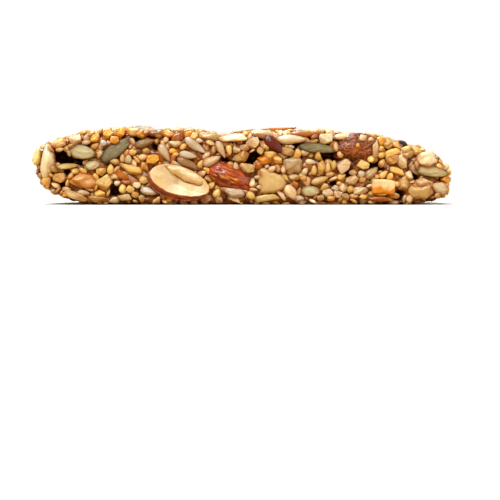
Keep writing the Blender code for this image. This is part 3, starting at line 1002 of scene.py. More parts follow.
# %% Finishes of the seeds
RIM = paint(150, 140, 84)
FINISHES = {
    "sesame": glazed_and_shaded("sesame_seed", mottle=0.7, glow=0.3, bump=0.5),
    "chunk": glazed_and_shaded("chopped_nut", mottle=0.9, glow=0.4, roughness=(0.22, 0.4), bump=0.7),
    "sliver": glazed_and_shaded("nut_sliver", mottle=0.8, glow=0.35, roughness=(0.22, 0.4), bump=0.7),
    "crumb": glazed_and_shaded("nut_crumb", mottle=0.8, glow=0.35, roughness=(0.22, 0.4), bump=0.6),
    "sunflower": glazed_and_shaded("sunflower_kernel", mottle=0.8, glow=0.25, roughness=(0.22, 0.38), bump=0.8),
    "pumpkin": glazed_and_shaded("pumpkin_seed", mottle=0.9, glow=0.05, roughness=(0.4, 0.6), bump=0.7, rim=RIM),
}
print(list(FINISHES))

# %% [markdown]
# ## Packing
# The packer keeps an ellipsoid for each piece. Two pieces clash when a few points on one lie well inside
# the other. A new small seed is tried where the bar is still bare: first touching the outline, then a
# little deeper, and where it fits nowhere it is turned and tried again. That fills the gaps the way
# pressing does, with the last seeds lying deeper than the first.

# %% The packer
CORNERS = ((1, 0, 0), (0, 1, 0), (0, 0, 1), (1, 1, 1), (1, 1, -1), (1, -1, 1), (1, -1, -1))
SHELL = np.array([sign * Vector(corner).normalized() for corner in CORNERS for sign in (1, -1)])
BIN = 5.0 * MM
# How far the toffee and the painted shade reach up a seed from where it meets another.
TOFFEE_AND_SHADE_CREEP = 0.34 * MM  # how far toffee creeps up a seed from where it meets another


class Packer:
    """The pieces placed so far, found quickly by the bins that they reach."""

    def __init__(self, allowed):
        self.allowed = allowed
        self.centres = []
        self.inverses = []
        self.shells = []
        self.bins = {}

    def bins_of(self, centre, radius):
        low = [int(math.floor((value - radius) / BIN)) for value in centre]
        high = [int(math.floor((value + radius) / BIN)) for value in centre]
        return [
            (x, y, z)
            for x in range(low[0], high[0] + 1)
            for y in range(low[1], high[1] + 1)
            for z in range(low[2], high[2] + 1)
        ]

    def shape(self, centre, size, axes):
        matrix = np.array(axes)
        inverse = matrix.T / np.array(size)[:, None]
        shell = (SHELL * np.array(size)) @ matrix.T + np.array(centre)
        return np.array(centre), inverse, shell

    def clashes(self, centre, size, axes):
        """True where the piece and a placed one reach too far into each other."""
        near = sorted({i for key in self.bins_of(centre, max(size)) for i in self.bins.get(key, ())})
        if not near:
            return False
        middle, inverse, shell = self.shape(centre, size, axes)
        others = np.array([self.centres[i] for i in near])
        others_inverse = np.array([self.inverses[i] for i in near])
        inside = np.einsum("kij,kpj->kpi", others_inverse, shell[None] - others[:, None])
        if ((inside**2).sum(2) < self.allowed).any():
            return True
        theirs = np.array([self.shells[i] for i in near])
        inside = np.einsum("ij,kpj->kpi", inverse, theirs - middle)
        return bool(((inside**2).sum(2) < self.allowed).any())

    def toffee_and_shade(self, co, centre, size):
        """Toffee and painted shade for each of a piece's points: high where another piece meets it, 0 well
        clear of them.
        """
        near = sorted({i for key in self.bins_of(centre, max(size)) for i in self.bins.get(key, ())})
        others = np.array([self.centres[i] for i in near])
        off = np.linalg.norm(others - np.array(centre), axis=1) > 0.01 * MM
        if not off.any():
            return np.zeros(len(co))
        inverses = np.array([self.inverses[i] for i in near])[off]
        inside = np.einsum("kij,kpj->kpi", inverses, co[None] - others[off][:, None])
        level = np.sqrt((inside**2).sum(2))
        thickness = 1 / np.linalg.norm(inverses, axis=2).max(1)
        gap = (level - 1) * 1.3 * thickness[:, None]
        return 0.85 * np.exp(-np.maximum(gap.min(0), 0) / TOFFEE_AND_SHADE_CREEP)

    def add(self, centre, size, axes):
        middle, inverse, shell = self.shape(centre, size, axes)
        number = len(self.centres)
        self.centres.append(middle)
        self.inverses.append(inverse)
        self.shells.append(shell)
        for key in self.bins_of(centre, max(size)):
            self.bins.setdefault(key, []).append(number)


packer = Packer(allowed=0.62)
for centre, size, axes in PLACES.values():
    packer.add(centre, size, axes)
print("packer holds", len(packer.centres), "pieces")

# %% [markdown]
# ## The cut front, one by one
# The eye goes to the pieces of the cut face, so these are placed one by one, at their real size and turn.
# Two numbers give the place, along the bar and above its underside, and the rest is the piece as it shows.

# %% The larger pieces of the front, close to where their solids lie
# (kind, x and z in mm, length and width in mm as seen, turn in degrees, tone)
FRONT_PIECES = (
    ("chunk", -61.0, 14.2, 5.4, 3.2, 78, "butter"),
    ("chunk", -58.0, 6.4, 3.8, 2.8, 60, "gold"),
    ("sliver", -54.0, 18.2, 4.6, 2.7, 22, "tan"),
    ("chunk", -53.6, 7.8, 4.2, 2.9, 8, "honey"),
    ("pumpkin", -51.0, 11.3, 6.6, 1.8, 6, "lime"),
    ("chunk", -48.7, 19.3, 3.8, 3.0, 10, "peach"),
    ("pumpkin", -46.6, 15.4, 8.4, 4.4, -8, "leaf"),
    ("pumpkin", -43.6, 11.6, 4.6, 2.9, 12, "leaf"),
    ("sunflower", -46.4, 3.4, 3.9, 1.9, -4, "pink"),
    ("chunk", -40.2, 6.3, 4.8, 4.0, 30, "butter"),
    ("chunk", -41.8, 3.0, 3.5, 2.8, 0, "gold"),
    ("pumpkin", -36.6, 16.1, 11.6, 4.2, 37, "bark"),
    ("chunk", -37.2, 19.0, 3.0, 2.8, 20, "orange"),
    ("sliver", -32.3, 10.2, 7.0, 2.6, -16, "gold"),
    ("sliver", -35.0, 8.6, 4.0, 2.2, -36, "amber"),
    ("sliver", -34.4, 2.2, 4.2, 2.0, 0, "tan"),
    ("sunflower", -28.3, 18.0, 6.4, 2.6, 14, "brown"),
    ("chunk", -26.2, 13.4, 4.2, 3.2, 24, "orange"),
    ("sunflower", -22.5, 15.0, 6.2, 2.8, -60, "pink"),
    ("chunk", -19.0, 20.0, 4.4, 3.0, 0, "amber"),
    ("sunflower", -13.5, 17.2, 7.6, 2.8, -38, "grey"),
    ("sunflower", -15.6, 14.4, 5.6, 2.5, -12, "grey"),
    ("sunflower", -8.7, 12.9, 6.0, 2.9, 22, "pink"),
    ("sliver", -9.4, 20.3, 6.4, 2.4, -4, "tan"),
    ("sliver", -2.6, 19.6, 8.6, 2.5, 0, "cream"),
    ("sunflower", -6.0, 16.1, 5.6, 2.3, -65, "pink"),
    ("chunk", 0.2, 14.0, 4.8, 3.2, 30, "honey"),
    ("chunk", 3.4, 18.0, 4.2, 3.0, 20, "cream"),
    ("sliver", 5.8, 21.0, 7.4, 2.4, -8, "peach"),
    ("sunflower", 9.8, 17.4, 7.8, 3.5, -40, "russet"),
    ("chunk", 7.0, 13.2, 4.8, 3.0, 10, "orange"),
    ("sunflower", 14.8, 19.3, 9.0, 3.0, 0, "cream"),
    ("sunflower", 19.3, 21.2, 10.3, 2.0, 0, "amber"),
    ("pumpkin", 22.5, 16.5, 11.8, 3.0, -5, "moss"),
    ("sunflower", 14.6, 3.5, 5.4, 3.4, -55, "peach"),
    ("pumpkin", 20.4, 4.0, 6.0, 3.4, 3, "leaf"),
    ("sliver", 7.4, 1.9, 7.6, 2.2, 5, "gold"),
    ("sunflower", 23.2, 7.2, 5.8, 2.3, 18, "tan"),
    ("chunk", 23.6, 11.0, 4.2, 2.6, 85, "gold"),
    ("chunk", 24.8, 19.4, 4.2, 3.2, 0, "cream"),
    ("chunk", 25.4, 3.4, 3.4, 2.9, 15, "peach"),
    ("sunflower", 31.0, 20.4, 7.6, 2.0, 4, "cream"),
    ("chunk", 29.8, 11.2, 4.9, 3.8, 62, "pink"),
    ("chunk", 32.6, 7.2, 4.0, 2.8, 16, "peach"),
    ("chunk", 35.0, 4.2, 4.5, 2.7, 0, "cream"),
    ("sunflower", 38.3, 9.4, 4.8, 3.0, 38, "tan"),
    ("sliver", 44.2, 15.2, 5.0, 2.3, 12, "gold"),
    ("chunk", 42.4, 18.6, 3.6, 3.0, 0, "gold"),
    ("sliver", 45.6, 9.8, 4.8, 1.9, -25, "gold"),
    ("chunk", 47.0, 13.0, 5.0, 3.3, -68, "cream"),
    ("chunk", 49.0, 16.6, 3.4, 3.0, 10, "butter"),
    ("chunk", 47.8, 6.4, 4.4, 3.4, 75, "tan"),
    ("pumpkin", 56.0, 9.8, 10.2, 3.4, -10, "leaf"),
    ("sunflower", 58.6, 5.0, 5.6, 4.2, 160, "cream"),
)
print(len(FRONT_PIECES), "larger pieces")

# %% The smaller pieces of the front
FRONT_SEEDS = (
    ("sesame", -53.4, 16.2, 2.7, 1.4, 4, "tan"),
    ("sesame", -51.6, 4.5, 2.8, 1.6, 0, "cream"),
    ("sesame", -58.6, 4.9, 2.4, 1.8, 80, "gold"),
    ("sesame", -40.3, 18.0, 2.2, 2.0, 0, "grey"),
    ("sesame", -45.3, 18.5, 2.9, 1.6, 10, "pink"),
    ("sesame", -33.2, 13.4, 2.9, 2.4, 80, "cream"),
    ("sesame", -31.8, 15.4, 2.4, 2.1, 0, "gold"),
    ("chunk", -28.0, 15.7, 2.4, 2.2, 0, "gold"),
    ("sesame", -34.9, 13.7, 2.7, 1.6, 90, "tan"),
    ("chunk", -41.2, 9.8, 2.9, 2.6, 0, "gold"),
    ("sesame", -38.4, 10.5, 3.2, 2.2, 90, "gold"),
    ("sesame", -34.9, 4.8, 2.9, 2.4, 90, "gold"),
    ("chunk", -32.7, 4.6, 2.7, 2.5, 0, "gold"),
    ("sesame", -36.4, 6.4, 2.1, 1.6, 20, "cream"),
    ("sliver", -33.9, 6.5, 3.0, 1.3, 0, "amber"),
    ("sesame", -28.6, 7.2, 2.9, 2.4, -10, "gold"),
    ("chunk", -30.7, 5.7, 2.4, 1.9, 0, "cream"),
    ("sunflower", -27.3, 3.9, 5.0, 2.3, -15, "grey"),
    ("chunk", -31.3, 3.0, 2.4, 2.0, 0, "gold"),
    ("sesame", -28.6, 14.0, 3.2, 1.9, 12, "peach"),
    ("chunk", -44.6, 20.9, 3.0, 2.4, 0, "honey"),
    ("chunk", -45.3, 20.0, 2.8, 2.2, 20, "cream"),
    ("chunk", -42.9, 19.6, 3.0, 2.4, 60, "orange"),
    ("chunk", -39.0, 21.0, 3.4, 2.6, 0, "orange"),
    ("chunk", -37.2, 21.9, 3.6, 2.8, 10, "gold"),
    ("chunk", -35.4, 21.4, 3.2, 2.4, 30, "orange"),
    ("sliver", -31.8, 21.8, 4.8, 2.8, 0, "gold"),
    ("chunk", -29.3, 21.2, 3.0, 2.6, 0, "orange"),
    ("chunk", -27.7, 21.6, 2.8, 2.4, 45, "gold"),
    ("chunk", -26.0, 21.4, 3.0, 2.4, 0, "honey"),
    ("chunk", -24.2, 21.2, 2.8, 2.4, 0, "gold"),
    ("chunk", -21.4, 20.9, 3.2, 2.6, 0, "orange"),
    ("chunk", -18.2, 20.1, 3.0, 2.6, 30, "amber"),
    ("chunk", -15.5, 21.0, 2.8, 2.2, 0, "orange"),
    ("chunk", -13.8, 20.5, 3.0, 2.4, 60, "gold"),
    ("sesame", 1.4, 21.4, 2.5, 2.0, 0, "orange"),
    ("chunk", 1.7, 10.6, 4.8, 3.0, -10, "tan"),
    ("chunk", 0.9, 16.5, 2.9, 2.4, 0, "tan"),
    ("sesame", -22.0, 19.4, 2.4, 1.7, 70, "cream"),
    ("sliver", -19.4, 17.7, 4.0, 1.9, 0, "cream"),
    ("sesame", -17.0, 17.1, 2.6, 1.7, 35, "gold"),
    ("sesame", -20.0, 15.7, 2.6, 1.7, 0, "orange"),
    ("sesame", -12.4, 18.9, 2.4, 1.7, 0, "cream"),
    ("sesame", -19.2, 14.8, 2.2, 1.6, 0, "gold"),
    ("sunflower", -15.4, 11.8, 8.0, 2.9, -27, "taupe"),
    ("sesame", -10.3, 14.4, 2.8, 1.7, 40, "cream"),
    ("sesame", -3.6, 15.9, 3.2, 1.8, -80, "gold"),
    ("sesame", 8.8, 10.3, 3.2, 2.0, 40, "cream"),
    ("chunk", 10.5, 13.2, 3.5, 2.2, -35, "gold"),
    ("sliver", 8.5, 14.6, 3.5, 2.0, 0, "gold"),
    ("sesame", 18.0, 8.1, 3.1, 2.1, -40, "gold"),
    ("sesame", 17.1, 1.9, 3.0, 1.8, 0, "grey"),
    ("sesame", 21.3, 10.3, 3.2, 1.8, 88, "gold"),
    ("sesame", 25.3, 10.8, 3.2, 1.8, 85, "gold"),
    ("sesame", 27.1, 11.7, 3.0, 1.7, 85, "gold"),
    ("sesame", 20.3, 12.5, 3.3, 1.8, -5, "cream"),
    ("chunk", 16.4, 14.6, 3.6, 2.0, 75, "gold"),
    ("sliver", 13.6, 15.5, 4.0, 2.2, -15, "tan"),
    ("sesame", 18.6, 15.4, 3.0, 2.2, 10, "cream"),
    ("sesame", 21.5, 20.2, 2.6, 1.4, 20, "amber"),
    ("chunk", 41.1, 18.9, 3.0, 3.0, 0, "orange"),
    ("sesame", 35.4, 9.0, 2.5, 2.2, 0, "cream"),
    ("chunk", 35.6, 11.8, 3.8, 3.0, 0, "butter"),
    ("sesame", 29.2, 14.9, 2.6, 2.0, 30, "tan"),
    ("sesame", 29.4, 8.3, 2.8, 1.9, 30, "gold"),
    ("sesame", 29.5, 5.1, 2.8, 2.1, -70, "cream"),
    ("sesame", 33.2, 2.6, 3.1, 1.6, 0, "tan"),
    ("chunk", 35.6, 2.4, 2.2, 1.6, 0, "gold"),
    ("sliver", 40.3, 1.6, 6.0, 1.6, 0, "amber"),
    ("chunk", 51.5, 16.1, 3.2, 2.2, 0, "butter"),
    ("chunk", 48.9, 14.8, 3.4, 2.3, 20, "tan"),
    ("chunk", 44.1, 13.2, 4.0, 3.0, 0, "honey"),
    ("chunk", 53.3, 6.4, 4.4, 2.8, 0, "pink"),
    ("sesame", 58.4, 2.2, 3.0, 1.8, -50, "peach"),
    ("chunk", 60.6, 7.7, 3.4, 2.8, 0, "orange"),
    ("sesame", 59.2, 13.4, 2.8, 1.7, 90, "honey"),
    ("sesame", 43.3, 17.6, 2.8, 1.9, 20, "gold"),
    ("sesame", 45.6, 17.8, 2.8, 1.9, -40, "gold"),
    ("sesame", 41.4, 14.6, 2.9, 1.9, 10, "gold"),
    ("sesame", 41.2, 12.2, 2.8, 1.9, 60, "honey"),
    ("chunk", 48.0, 18.6, 2.6, 1.5, -20, "raisin"),
    ("sesame", 41.7, 8.9, 3.2, 1.8, 40, "gold"),
    ("sesame", 46.0, 6.0, 2.4, 1.8, 0, "gold"),
    ("chunk", 15.4, 7.9, 3.4, 2.3, -10, "tan"),
    ("sesame", 18.6, 9.8, 2.8, 1.8, 60, "pink"),
    ("sesame", 26.0, 8.9, 2.6, 1.7, 15, "tan"),
    ("sliver", -48.8, 2.6, 7.0, 2.2, -22, "tan"),
    ("sliver", -42.2, 1.5, 5.6, 2.0, -5, "honey"),
    ("sliver", -2.3, 3.4, 6.8, 2.8, -8, "grey"),
    ("sesame", -7.2, 3.4, 2.9, 2.3, 60, "gold"),
    ("sesame", 2.8, 2.6, 3.2, 2.3, -40, "gold"),
    ("chunk", 28.2, 3.0, 2.6, 2.3, -20, "cream"),
    ("crumb", 27.4, 4.9, 2.2, 1.9, 0, "grey"),
    ("crumb", 23.4, 2.0, 2.4, 1.8, 20, "tan"),
    ("crumb", 26.4, 1.6, 2.4, 1.8, 0, "honey"),
    ("crumb", 30.6, 2.4, 2.4, 2.0, 0, "tan"),
    ("crumb", 32.0, 4.6, 2.2, 1.9, 40, "gold"),
    ("crumb", 35.3, 19.7, 2.4, 2.0, 0, "peach"),
    ("crumb", 38.0, 19.4, 2.4, 1.6, 10, "pink"),
    ("crumb", 33.9, 17.3, 1.4, 1.3, 0, "orange"),
    ("crumb", 31.2, 15.9, 1.5, 1.4, 0, "honey"),
)

KIND_SIZES = {
    "pumpkin": (11.4, 6.0, 2.2),
    "sunflower": (7.6, 3.2, 2.1),
    "chunk": (4.4, 3.4, 2.9),
    "sliver": (6.6, 2.6, 1.9),
    "sesame": (3.0, 2.0, 1.1),
    "crumb": (2.6, 2.1, 1.8),
}
print(len(FRONT_PIECES) + len(FRONT_SEEDS), "pieces of the front placed by hand")

# %% Laying pieces
MASTERS = {
    "pumpkin": PUMPKINS,
    "sunflower": KERNELS,
    "chunk": CHUNKS,
    "sliver": SLIVERS,
    "crumb": CRUMBS,
    "sesame": SESAMES,
}
laid = {kind: [] for kind in MASTERS}
draw = np.random.default_rng(SEED + 1)


def own_tone(name):
    """A tone with a little of this seed's own in it."""
    light = 1 + 0.12 * draw.normal()
    warm = 0.06 * draw.normal()
    red, green, blue = TONES[name]
    return (red * light, green * light * (1 - 0.4 * warm), blue * light * (1 - warm))


def lay(kind, centre, size, axes, tone):
    """Notes one piece: which of its kind's shapes it takes, and where it goes."""
    variant = int(draw.integers(len(MASTERS[kind])))
    offset = draw.random(3)
    laid[kind].append((variant, np.array(centre), np.array(size), np.array(axes), own_tone(tone), offset))
    packer.add(centre, size, axes)


def sunk_centre(point, normal, size, axes, proud):
    half = reach(size, axes, normal)
    centre = point - normal * max(half - proud, CORE_INSET - 0.5 * half)
    return kept_inside(centre, size, axes, proud)


def onto_nuts(centre):
    """The centre, brought forward to the face of a large nut that would swallow the piece."""
    for name, shape, *_ in NUTS:
        nut_centre, nut_size, nut_axes = PLACES[name]
        start, way = (
            Vector([part / half for part, half in zip(nut_axes.transposed() @ line, nut_size)])
            for line in (centre - nut_centre, Vector((0, -1, 0)))
        )
        room = start.dot(way) ** 2 - way.length_squared * (start.length_squared - 1)
        if shape != "half" and room > 0:
            centre.y -= max(0.0, (math.sqrt(room) - start.dot(way)) / way.length_squared)
    return centre


for number, (kind, x, z, length, width, turn, tone) in enumerate(FRONT_PIECES + FRONT_SEEDS):
    size = Vector((length, width, min(width, KIND_SIZES[kind][2]))) * MM / 2
    point, normal = spot_on("front", x * MM, z * MM)
    axes = axes_at("front", normal, math.radians(turn))
    centre = sunk_centre(point, normal, size, axes, PROUD)
    if number >= len(FRONT_PIECES):
        centre = onto_nuts(centre)
    lay(kind, centre, size, axes, tone)
print({kind: len(rows) for kind, rows in laid.items()})

# %% [markdown]
# ## The other sides
# The larger seeds of the top, the back and the ends come from the same seeded draw as their solids, so they
# lie where the solids lie. More of each kind follow, until these sides are as crowded as the front.

# %% The larger scattered pieces, as their solids lie
SCATTERED = (("pumpkin", 14), ("sunflower", 24), ("chunk", 38))
SCATTER_SIDES = (("top", 0.52), ("back", 0.36), ("left", 0.06), ("right", 0.06))
SCATTER_TONES = {
    "pumpkin": ("slate", "olive", "bark", "leaf"),
    "sunflower": ("grey", "pink", "tan", "grey", "cream"),
    "chunk": ("gold", "cream", "peach", "tan", "honey", "orange", "cream", "pink"),
    "sliver": ("cream", "gold", "tan", "peach"),
    "crumb": ("gold", "cream", "peach", "tan", "honey", "amber", "gold"),
    "sesame": ("gold", "gold", "tan", "cream", "honey", "gold", "peach"),
}


def any_tone(kind):
    names = SCATTER_TONES[kind]
    return names[int(draw.integers(len(names)))]


def is_clear(centre, radius, size, placed, nuts):
    """True where a small piece crosses no nut and doesn't bury another small piece."""
    for nut_centre, nut_size, nut_axes in nuts:
        local = nut_axes.transposed() @ (centre - nut_centre)
        if sum((part / (half + radius)) ** 2 for part, half in zip(local, nut_size)) < 1:
            return False
    return all((centre - other).length > 0.62 * (size.x + length) for other, length in placed)


def scatter_as_solids():
    """Repeats the draw that placed the fused pieces."""
    pocket_gap = POCKET_GAP * 1.15
    nuts = [(centre, size + Vector((pocket_gap,) * 3), axes) for centre, size, axes in PLACES.values()]
    placed = []
    for kind, x, z, length, width, turn, _ in FRONT_PIECES:
        size = Vector((length, width, min(width, KIND_SIZES[kind][2]))) * MM / 2
        point, normal = spot_on("front", x * MM, z * MM)
        if is_clear(point - normal * size.z, 0.6 * size.y, size, [], nuts):
            axes = axes_at("front", normal, math.radians(turn))
            placed.append((sunk_centre(point, normal, size, axes, PROUD), size.x))
    chance = np.random.default_rng(SEED)
    names = [side for side, _ in SCATTER_SIDES]
    shares = [share for _, share in SCATTER_SIDES]
    for kind, count in SCATTERED:
        tries = 0
        done = 0
        while done < count and tries < 60 * count:
            tries += 1
            side = names[chance.choice(len(names), p=shares)]
            across, up, turn, roll, scale = chance.random(5)
            size = Vector(KIND_SIZES[kind]) * MM / 2 * (0.85 + 0.3 * scale)
            if side in ("left", "right"):
                spot = spot_on(side, (across - 0.5) * WIDTH * 0.8, (0.12 + 0.7 * up) * HEIGHT)
            elif side == "top":
                spot = spot_on(side, (across - 0.5) * LENGTH, (up - 0.5) * WIDTH)
            else:
                spot = spot_on(side, (across - 0.5) * LENGTH, (0.06 + 0.86 * up) * HEIGHT)
            point, normal = spot
            if point.z < 1.5 * MM or not is_clear(point, 0.7 * size.x, size, placed, nuts):
                continue
            lean = (roll - 0.5) * math.radians(120 if side in ("back", "left", "right") else 40)
            axes = axes_at(side, normal, turn * math.tau, lean)
            centre = sunk_centre(point, normal, size, axes, PROUD)
            lay(kind, centre, size, axes, any_tone(kind))
            placed.append((centre, size.x))
            done += 1


scatter_as_solids()
print({kind: len(rows) for kind, rows in laid.items()})

# %% [markdown]
# ## Filling in
# Twenty thousand points are spread over the outline. A point is covered once a piece lies under it. The
# filler goes round the bare points in a random order, first with large seeds and nuts, then with sesame,
# and then with crumbs for what is left. Each round ends at a set number of pieces, so that some toffee
# shows between them. A simulation of falling seeds would pack them as well, but slowly, and not round a
# block.

# %% Points all over the outline
SAMPLE_AREA = 0.7 * MM * MM


def surface_points():
    """Points and normals spread evenly by area over the form, by a seeded draw."""
    form.faces.ensure_lookup_table()
    areas = np.array([face.calc_area() for face in form.faces])
    count = int(areas.sum() / SAMPLE_AREA)
    picks = draw.choice(len(areas), size=count, p=areas / areas.sum())
    points = []
    normals = []
    for pick in picks:
        face = form.faces[pick]
        a, b = draw.random(2)
        corners = [vert.co for vert in face.verts]
        low = corners[0].lerp(corners[1], a)
        high = corners[-1].lerp(corners[2], a) if len(corners) == 4 else corners[2]
        points.append(low.lerp(high, b))
        normals.append(face.normal.copy())
    return points, normals


points, normals = surface_points()
point_array = np.array(points)
normal_array = np.array(normals)
covered = np.zeros(len(points), bool)
print(len(points), "points over", round(len(points) * SAMPLE_AREA * 1e6), "square mm")


def cover(centre, size, axes, share=0.85):
    """Marks the points whose line into the bar passes through the piece."""
    middle = np.array(centre)
    near = np.flatnonzero((np.abs(point_array - middle) < max(size) + 2.5 * MM).all(1) & ~covered)
    if len(near) == 0:
        return
    inverse = np.array(axes).T / (np.array(size)[:, None] * share)
    start = (point_array[near] - middle) @ inverse.T
    way = normal_array[near] @ inverse.T
    along = (start * way).sum(1)
    off = (start**2).sum(1) - along**2 / (way**2).sum(1)
    covered[near[(off < 1) & (along > -0.2)]] = True


for centre, size, axes in PLACES.values():
    cover(centre, size, axes)
for rows in laid.values():
    for _, centre, size, axes, _, _ in rows:
        cover(centre, size, axes)
print("covered so far:", round(100 * covered.mean()), "%")

# %% Hollows in the front, where nothing is filled in
# (x and z in mm, radius in mm)
HOLLOWS = (
    (-54.2, 14.4, 1.4),
    (-52.4, 13.8, 1.7),
    (-50.2, 13.2, 1.6),
    (-47.8, 12.6, 1.2),
    (-51.6, 9.6, 1.0),
    (-37.4, 3.8, 1.4),
    (-30.6, 19.4, 1.1),
    (-25.0, 17.0, 1.0),
    (-52.8, 5.2, 1.1),
    (-4.8, 12.8, 1.1),
    (3.6, 14.2, 1.6),
    (2.4, 12.4, 1.2),
    (15.8, 17.4, 1.1),
    (24.8, 14.4, 1.4),
    (27.4, 14.0, 1.2),
    (31.4, 9.4, 1.1),
    (38.4, 11.5, 1.1),
    (40.4, 11.2, 1.2),
    (27.3, 6.4, 0.9),
    (46.4, 2.4, 1.5),
    (51.0, 8.0, 1.0),
)
PIT_DEPTH = 4.0 * MM
for x, z, radius in HOLLOWS:
    off = np.hypot(point_array[:, 0] - x * MM, point_array[:, 2] - z * MM)
    covered[(off < radius * MM) & (point_array[:, 1] < 0)] = True
    point, normal = spot_on("front", x * MM, z * MM)
    half_size = Vector((radius * MM, radius * MM, PIT_DEPTH / 2))
    packer.add(point - normal * 0.45 * PIT_DEPTH, half_size, axes_at("front", normal, 0.0))
print(len(HOLLOWS), "hollows")

# %% The filler
SIDE_OF_AXIS = {
    (0, 1): "right",
    (0, -1): "left",
    (1, 1): "back",
    (1, -1): "front",
    (2, 1): "top",
    (2, -1): "under",
}


def side_of(normal):
    axis = max(range(3), key=lambda i: abs(normal[i]))
    return SIDE_OF_AXIS[axis, 1 if normal[axis] > 0 else -1]


def fill(kinds, sizes, tries, deepest, tip, step=0.35, quota=None):
    """Lays pieces on bare points. kinds gives shares, sizes gives ranges, and tip is how far they lean."""
    names = list(kinds)
    shares = np.array([kinds[name] for name in names], float)
    shares /= shares.sum()
    done = 0
    for number in draw.permutation(len(points)):
        if covered[number] or (quota is not None and done >= quota):
            continue
        point, normal = points[number], normals[number]
        side = side_of(normal)
        flat = side == "under" and point.z < 0.2 * MM
        for _ in range(tries):
            kind = names[draw.choice(len(names), p=shares)]
            low, high = sizes[kind]
            size = Vector(KIND_SIZES[kind]) * MM / 2 * (low + (high - low) * draw.random())
            size.y *= 0.9 + 0.2 * draw.random()
            lean = 0.0 if flat else tip * draw.normal()
            pitch = 0.0 if flat else 0.6 * tip * draw.normal()
            axes = axes_at(side, normal, math.tau * draw.random(), lean) @ Matrix.Rotation(pitch, 3, "Y")
            half = reach(size, axes, normal)
            depth = half - 0.1 * MM if flat else half - PROUD + 0.5 * MM * abs(draw.normal())
            placed = False
            while depth - half < deepest * MM:
                centre = kept_inside(point - normal * depth, size, axes, PROUD)
                if flat:
                    centre.z = depth
                else:
                    underside = section(2 * centre.x / LENGTH)[0]
                    centre.z = max(centre.z, underside + reach(size, axes, UP))
                if not packer.clashes(centre, size, axes):
                    placed = True
                    break
                depth += step * MM
            if placed:
                lay(kind, centre, size, axes, any_tone(kind))
                cover(centre, size, axes)
                done += 1
                break
    return done


BIG_SIZES = {"pumpkin": (0.8, 1.0), "sunflower": (0.75, 1.05), "chunk": (0.75, 1.15), "sliver": (0.7, 1.1)}
print("seeds:", fill({"pumpkin": 2, "sunflower": 5}, BIG_SIZES, 2, 0.8, 0.35, quota=110))
print("nuts:", fill({"chunk": 5, "sliver": 2}, BIG_SIZES, 2, 0.8, 0.5, quota=330))
print("covered:", round(100 * covered.mean()), "%")
SEED_SIZES = {"sesame": (0.85, 1.08), "crumb": (0.85, 1.2), "sliver": (0.5, 0.7)}
print("sesame:", fill({"sesame": 9, "crumb": 3, "sliver": 1}, SEED_SIZES, 4, 1.5, 0.6, quota=1750))
print("covered:", round(100 * covered.mean()), "%")
CRUMB_SIZES = {"sesame": (0.6, 0.8), "crumb": (0.5, 0.8)}
print("crumbs:", fill({"sesame": 2, "crumb": 2}, CRUMB_SIZES, 3, 2.0, 0.8, quota=320))
print("covered:", round(100 * covered.mean()), "%", {kind: len(rows) for kind, rows in laid.items()})

# %% [markdown]
# ## Joining the copies
# Each kind becomes one mesh. Separate objects would be easier to make, but thousands of them are slow to
# handle. A copy's points are its master's, scaled, turned and moved. Five attributes go with them, and the
# finishes read these: the seed's tone, its own coordinates in which patterns lie, how deep each point lies
# under the outline, the master's mark, and how much toffee and painted shade it takes where another piece
# touches it and on its lower side.

# %% Depth under the outline


def depth_of(co):
    """How far points lie under the bar's outline, roughly, for an array of points."""
    x, y, z = co.T
    low, high, front, back = section(2 * x / LENGTH)
    return np.min([high - z, y - front, back - y, z - low, LENGTH / 2 - np.abs(x)], axis=0)


def write_attribute(mesh, name, kind, values):
    field = {"FLOAT_COLOR": "color", "FLOAT_VECTOR": "vector", "FLOAT": "value"}[kind]
    mesh.attributes.new(name, kind, "POINT").data.foreach_set(field, values)


def mesh_of(name, co, faces, tone, own, mark, toffee_and_shade, smooth=None):
    """A mesh piece with the five attributes that the finishes read."""
    mesh = bpy.data.meshes.new(name)
    mesh.from_pydata(co.tolist(), [], faces)
    mesh.polygons.foreach_set("use_smooth", smooth or [True] * len(mesh.polygons))
    write_attribute(mesh, "tone", "FLOAT_COLOR", np.c_[tone, np.ones(len(co))].ravel())
    write_attribute(mesh, "own", "FLOAT_VECTOR", own.ravel())
    write_attribute(mesh, "depth", "FLOAT", depth_of(co))
    write_attribute(mesh, "mark", "FLOAT", mark)
    write_attribute(mesh, "toffee_and_shade", "FLOAT", toffee_and_shade)
    piece = bpy.data.objects.new(name, mesh)
    bpy.context.scene.collection.objects.link(piece)
    return piece


def underside_toffee_and_shade(unit, size, axes):
    """Amber on the lower side of a piece: painted shade, as light falls from above, and toffee run down
    there.
    """
    normal = (unit / size) @ np.array(axes).T
    return 0.45 * np.clip(-normal[:, 2] / np.linalg.norm(normal, axis=1), 0, 1) ** 1.5


OWN_STRETCH = {"pumpkin": 0.4, "sunflower": 0.3, "sliver": 0.4}  # patterns run along these


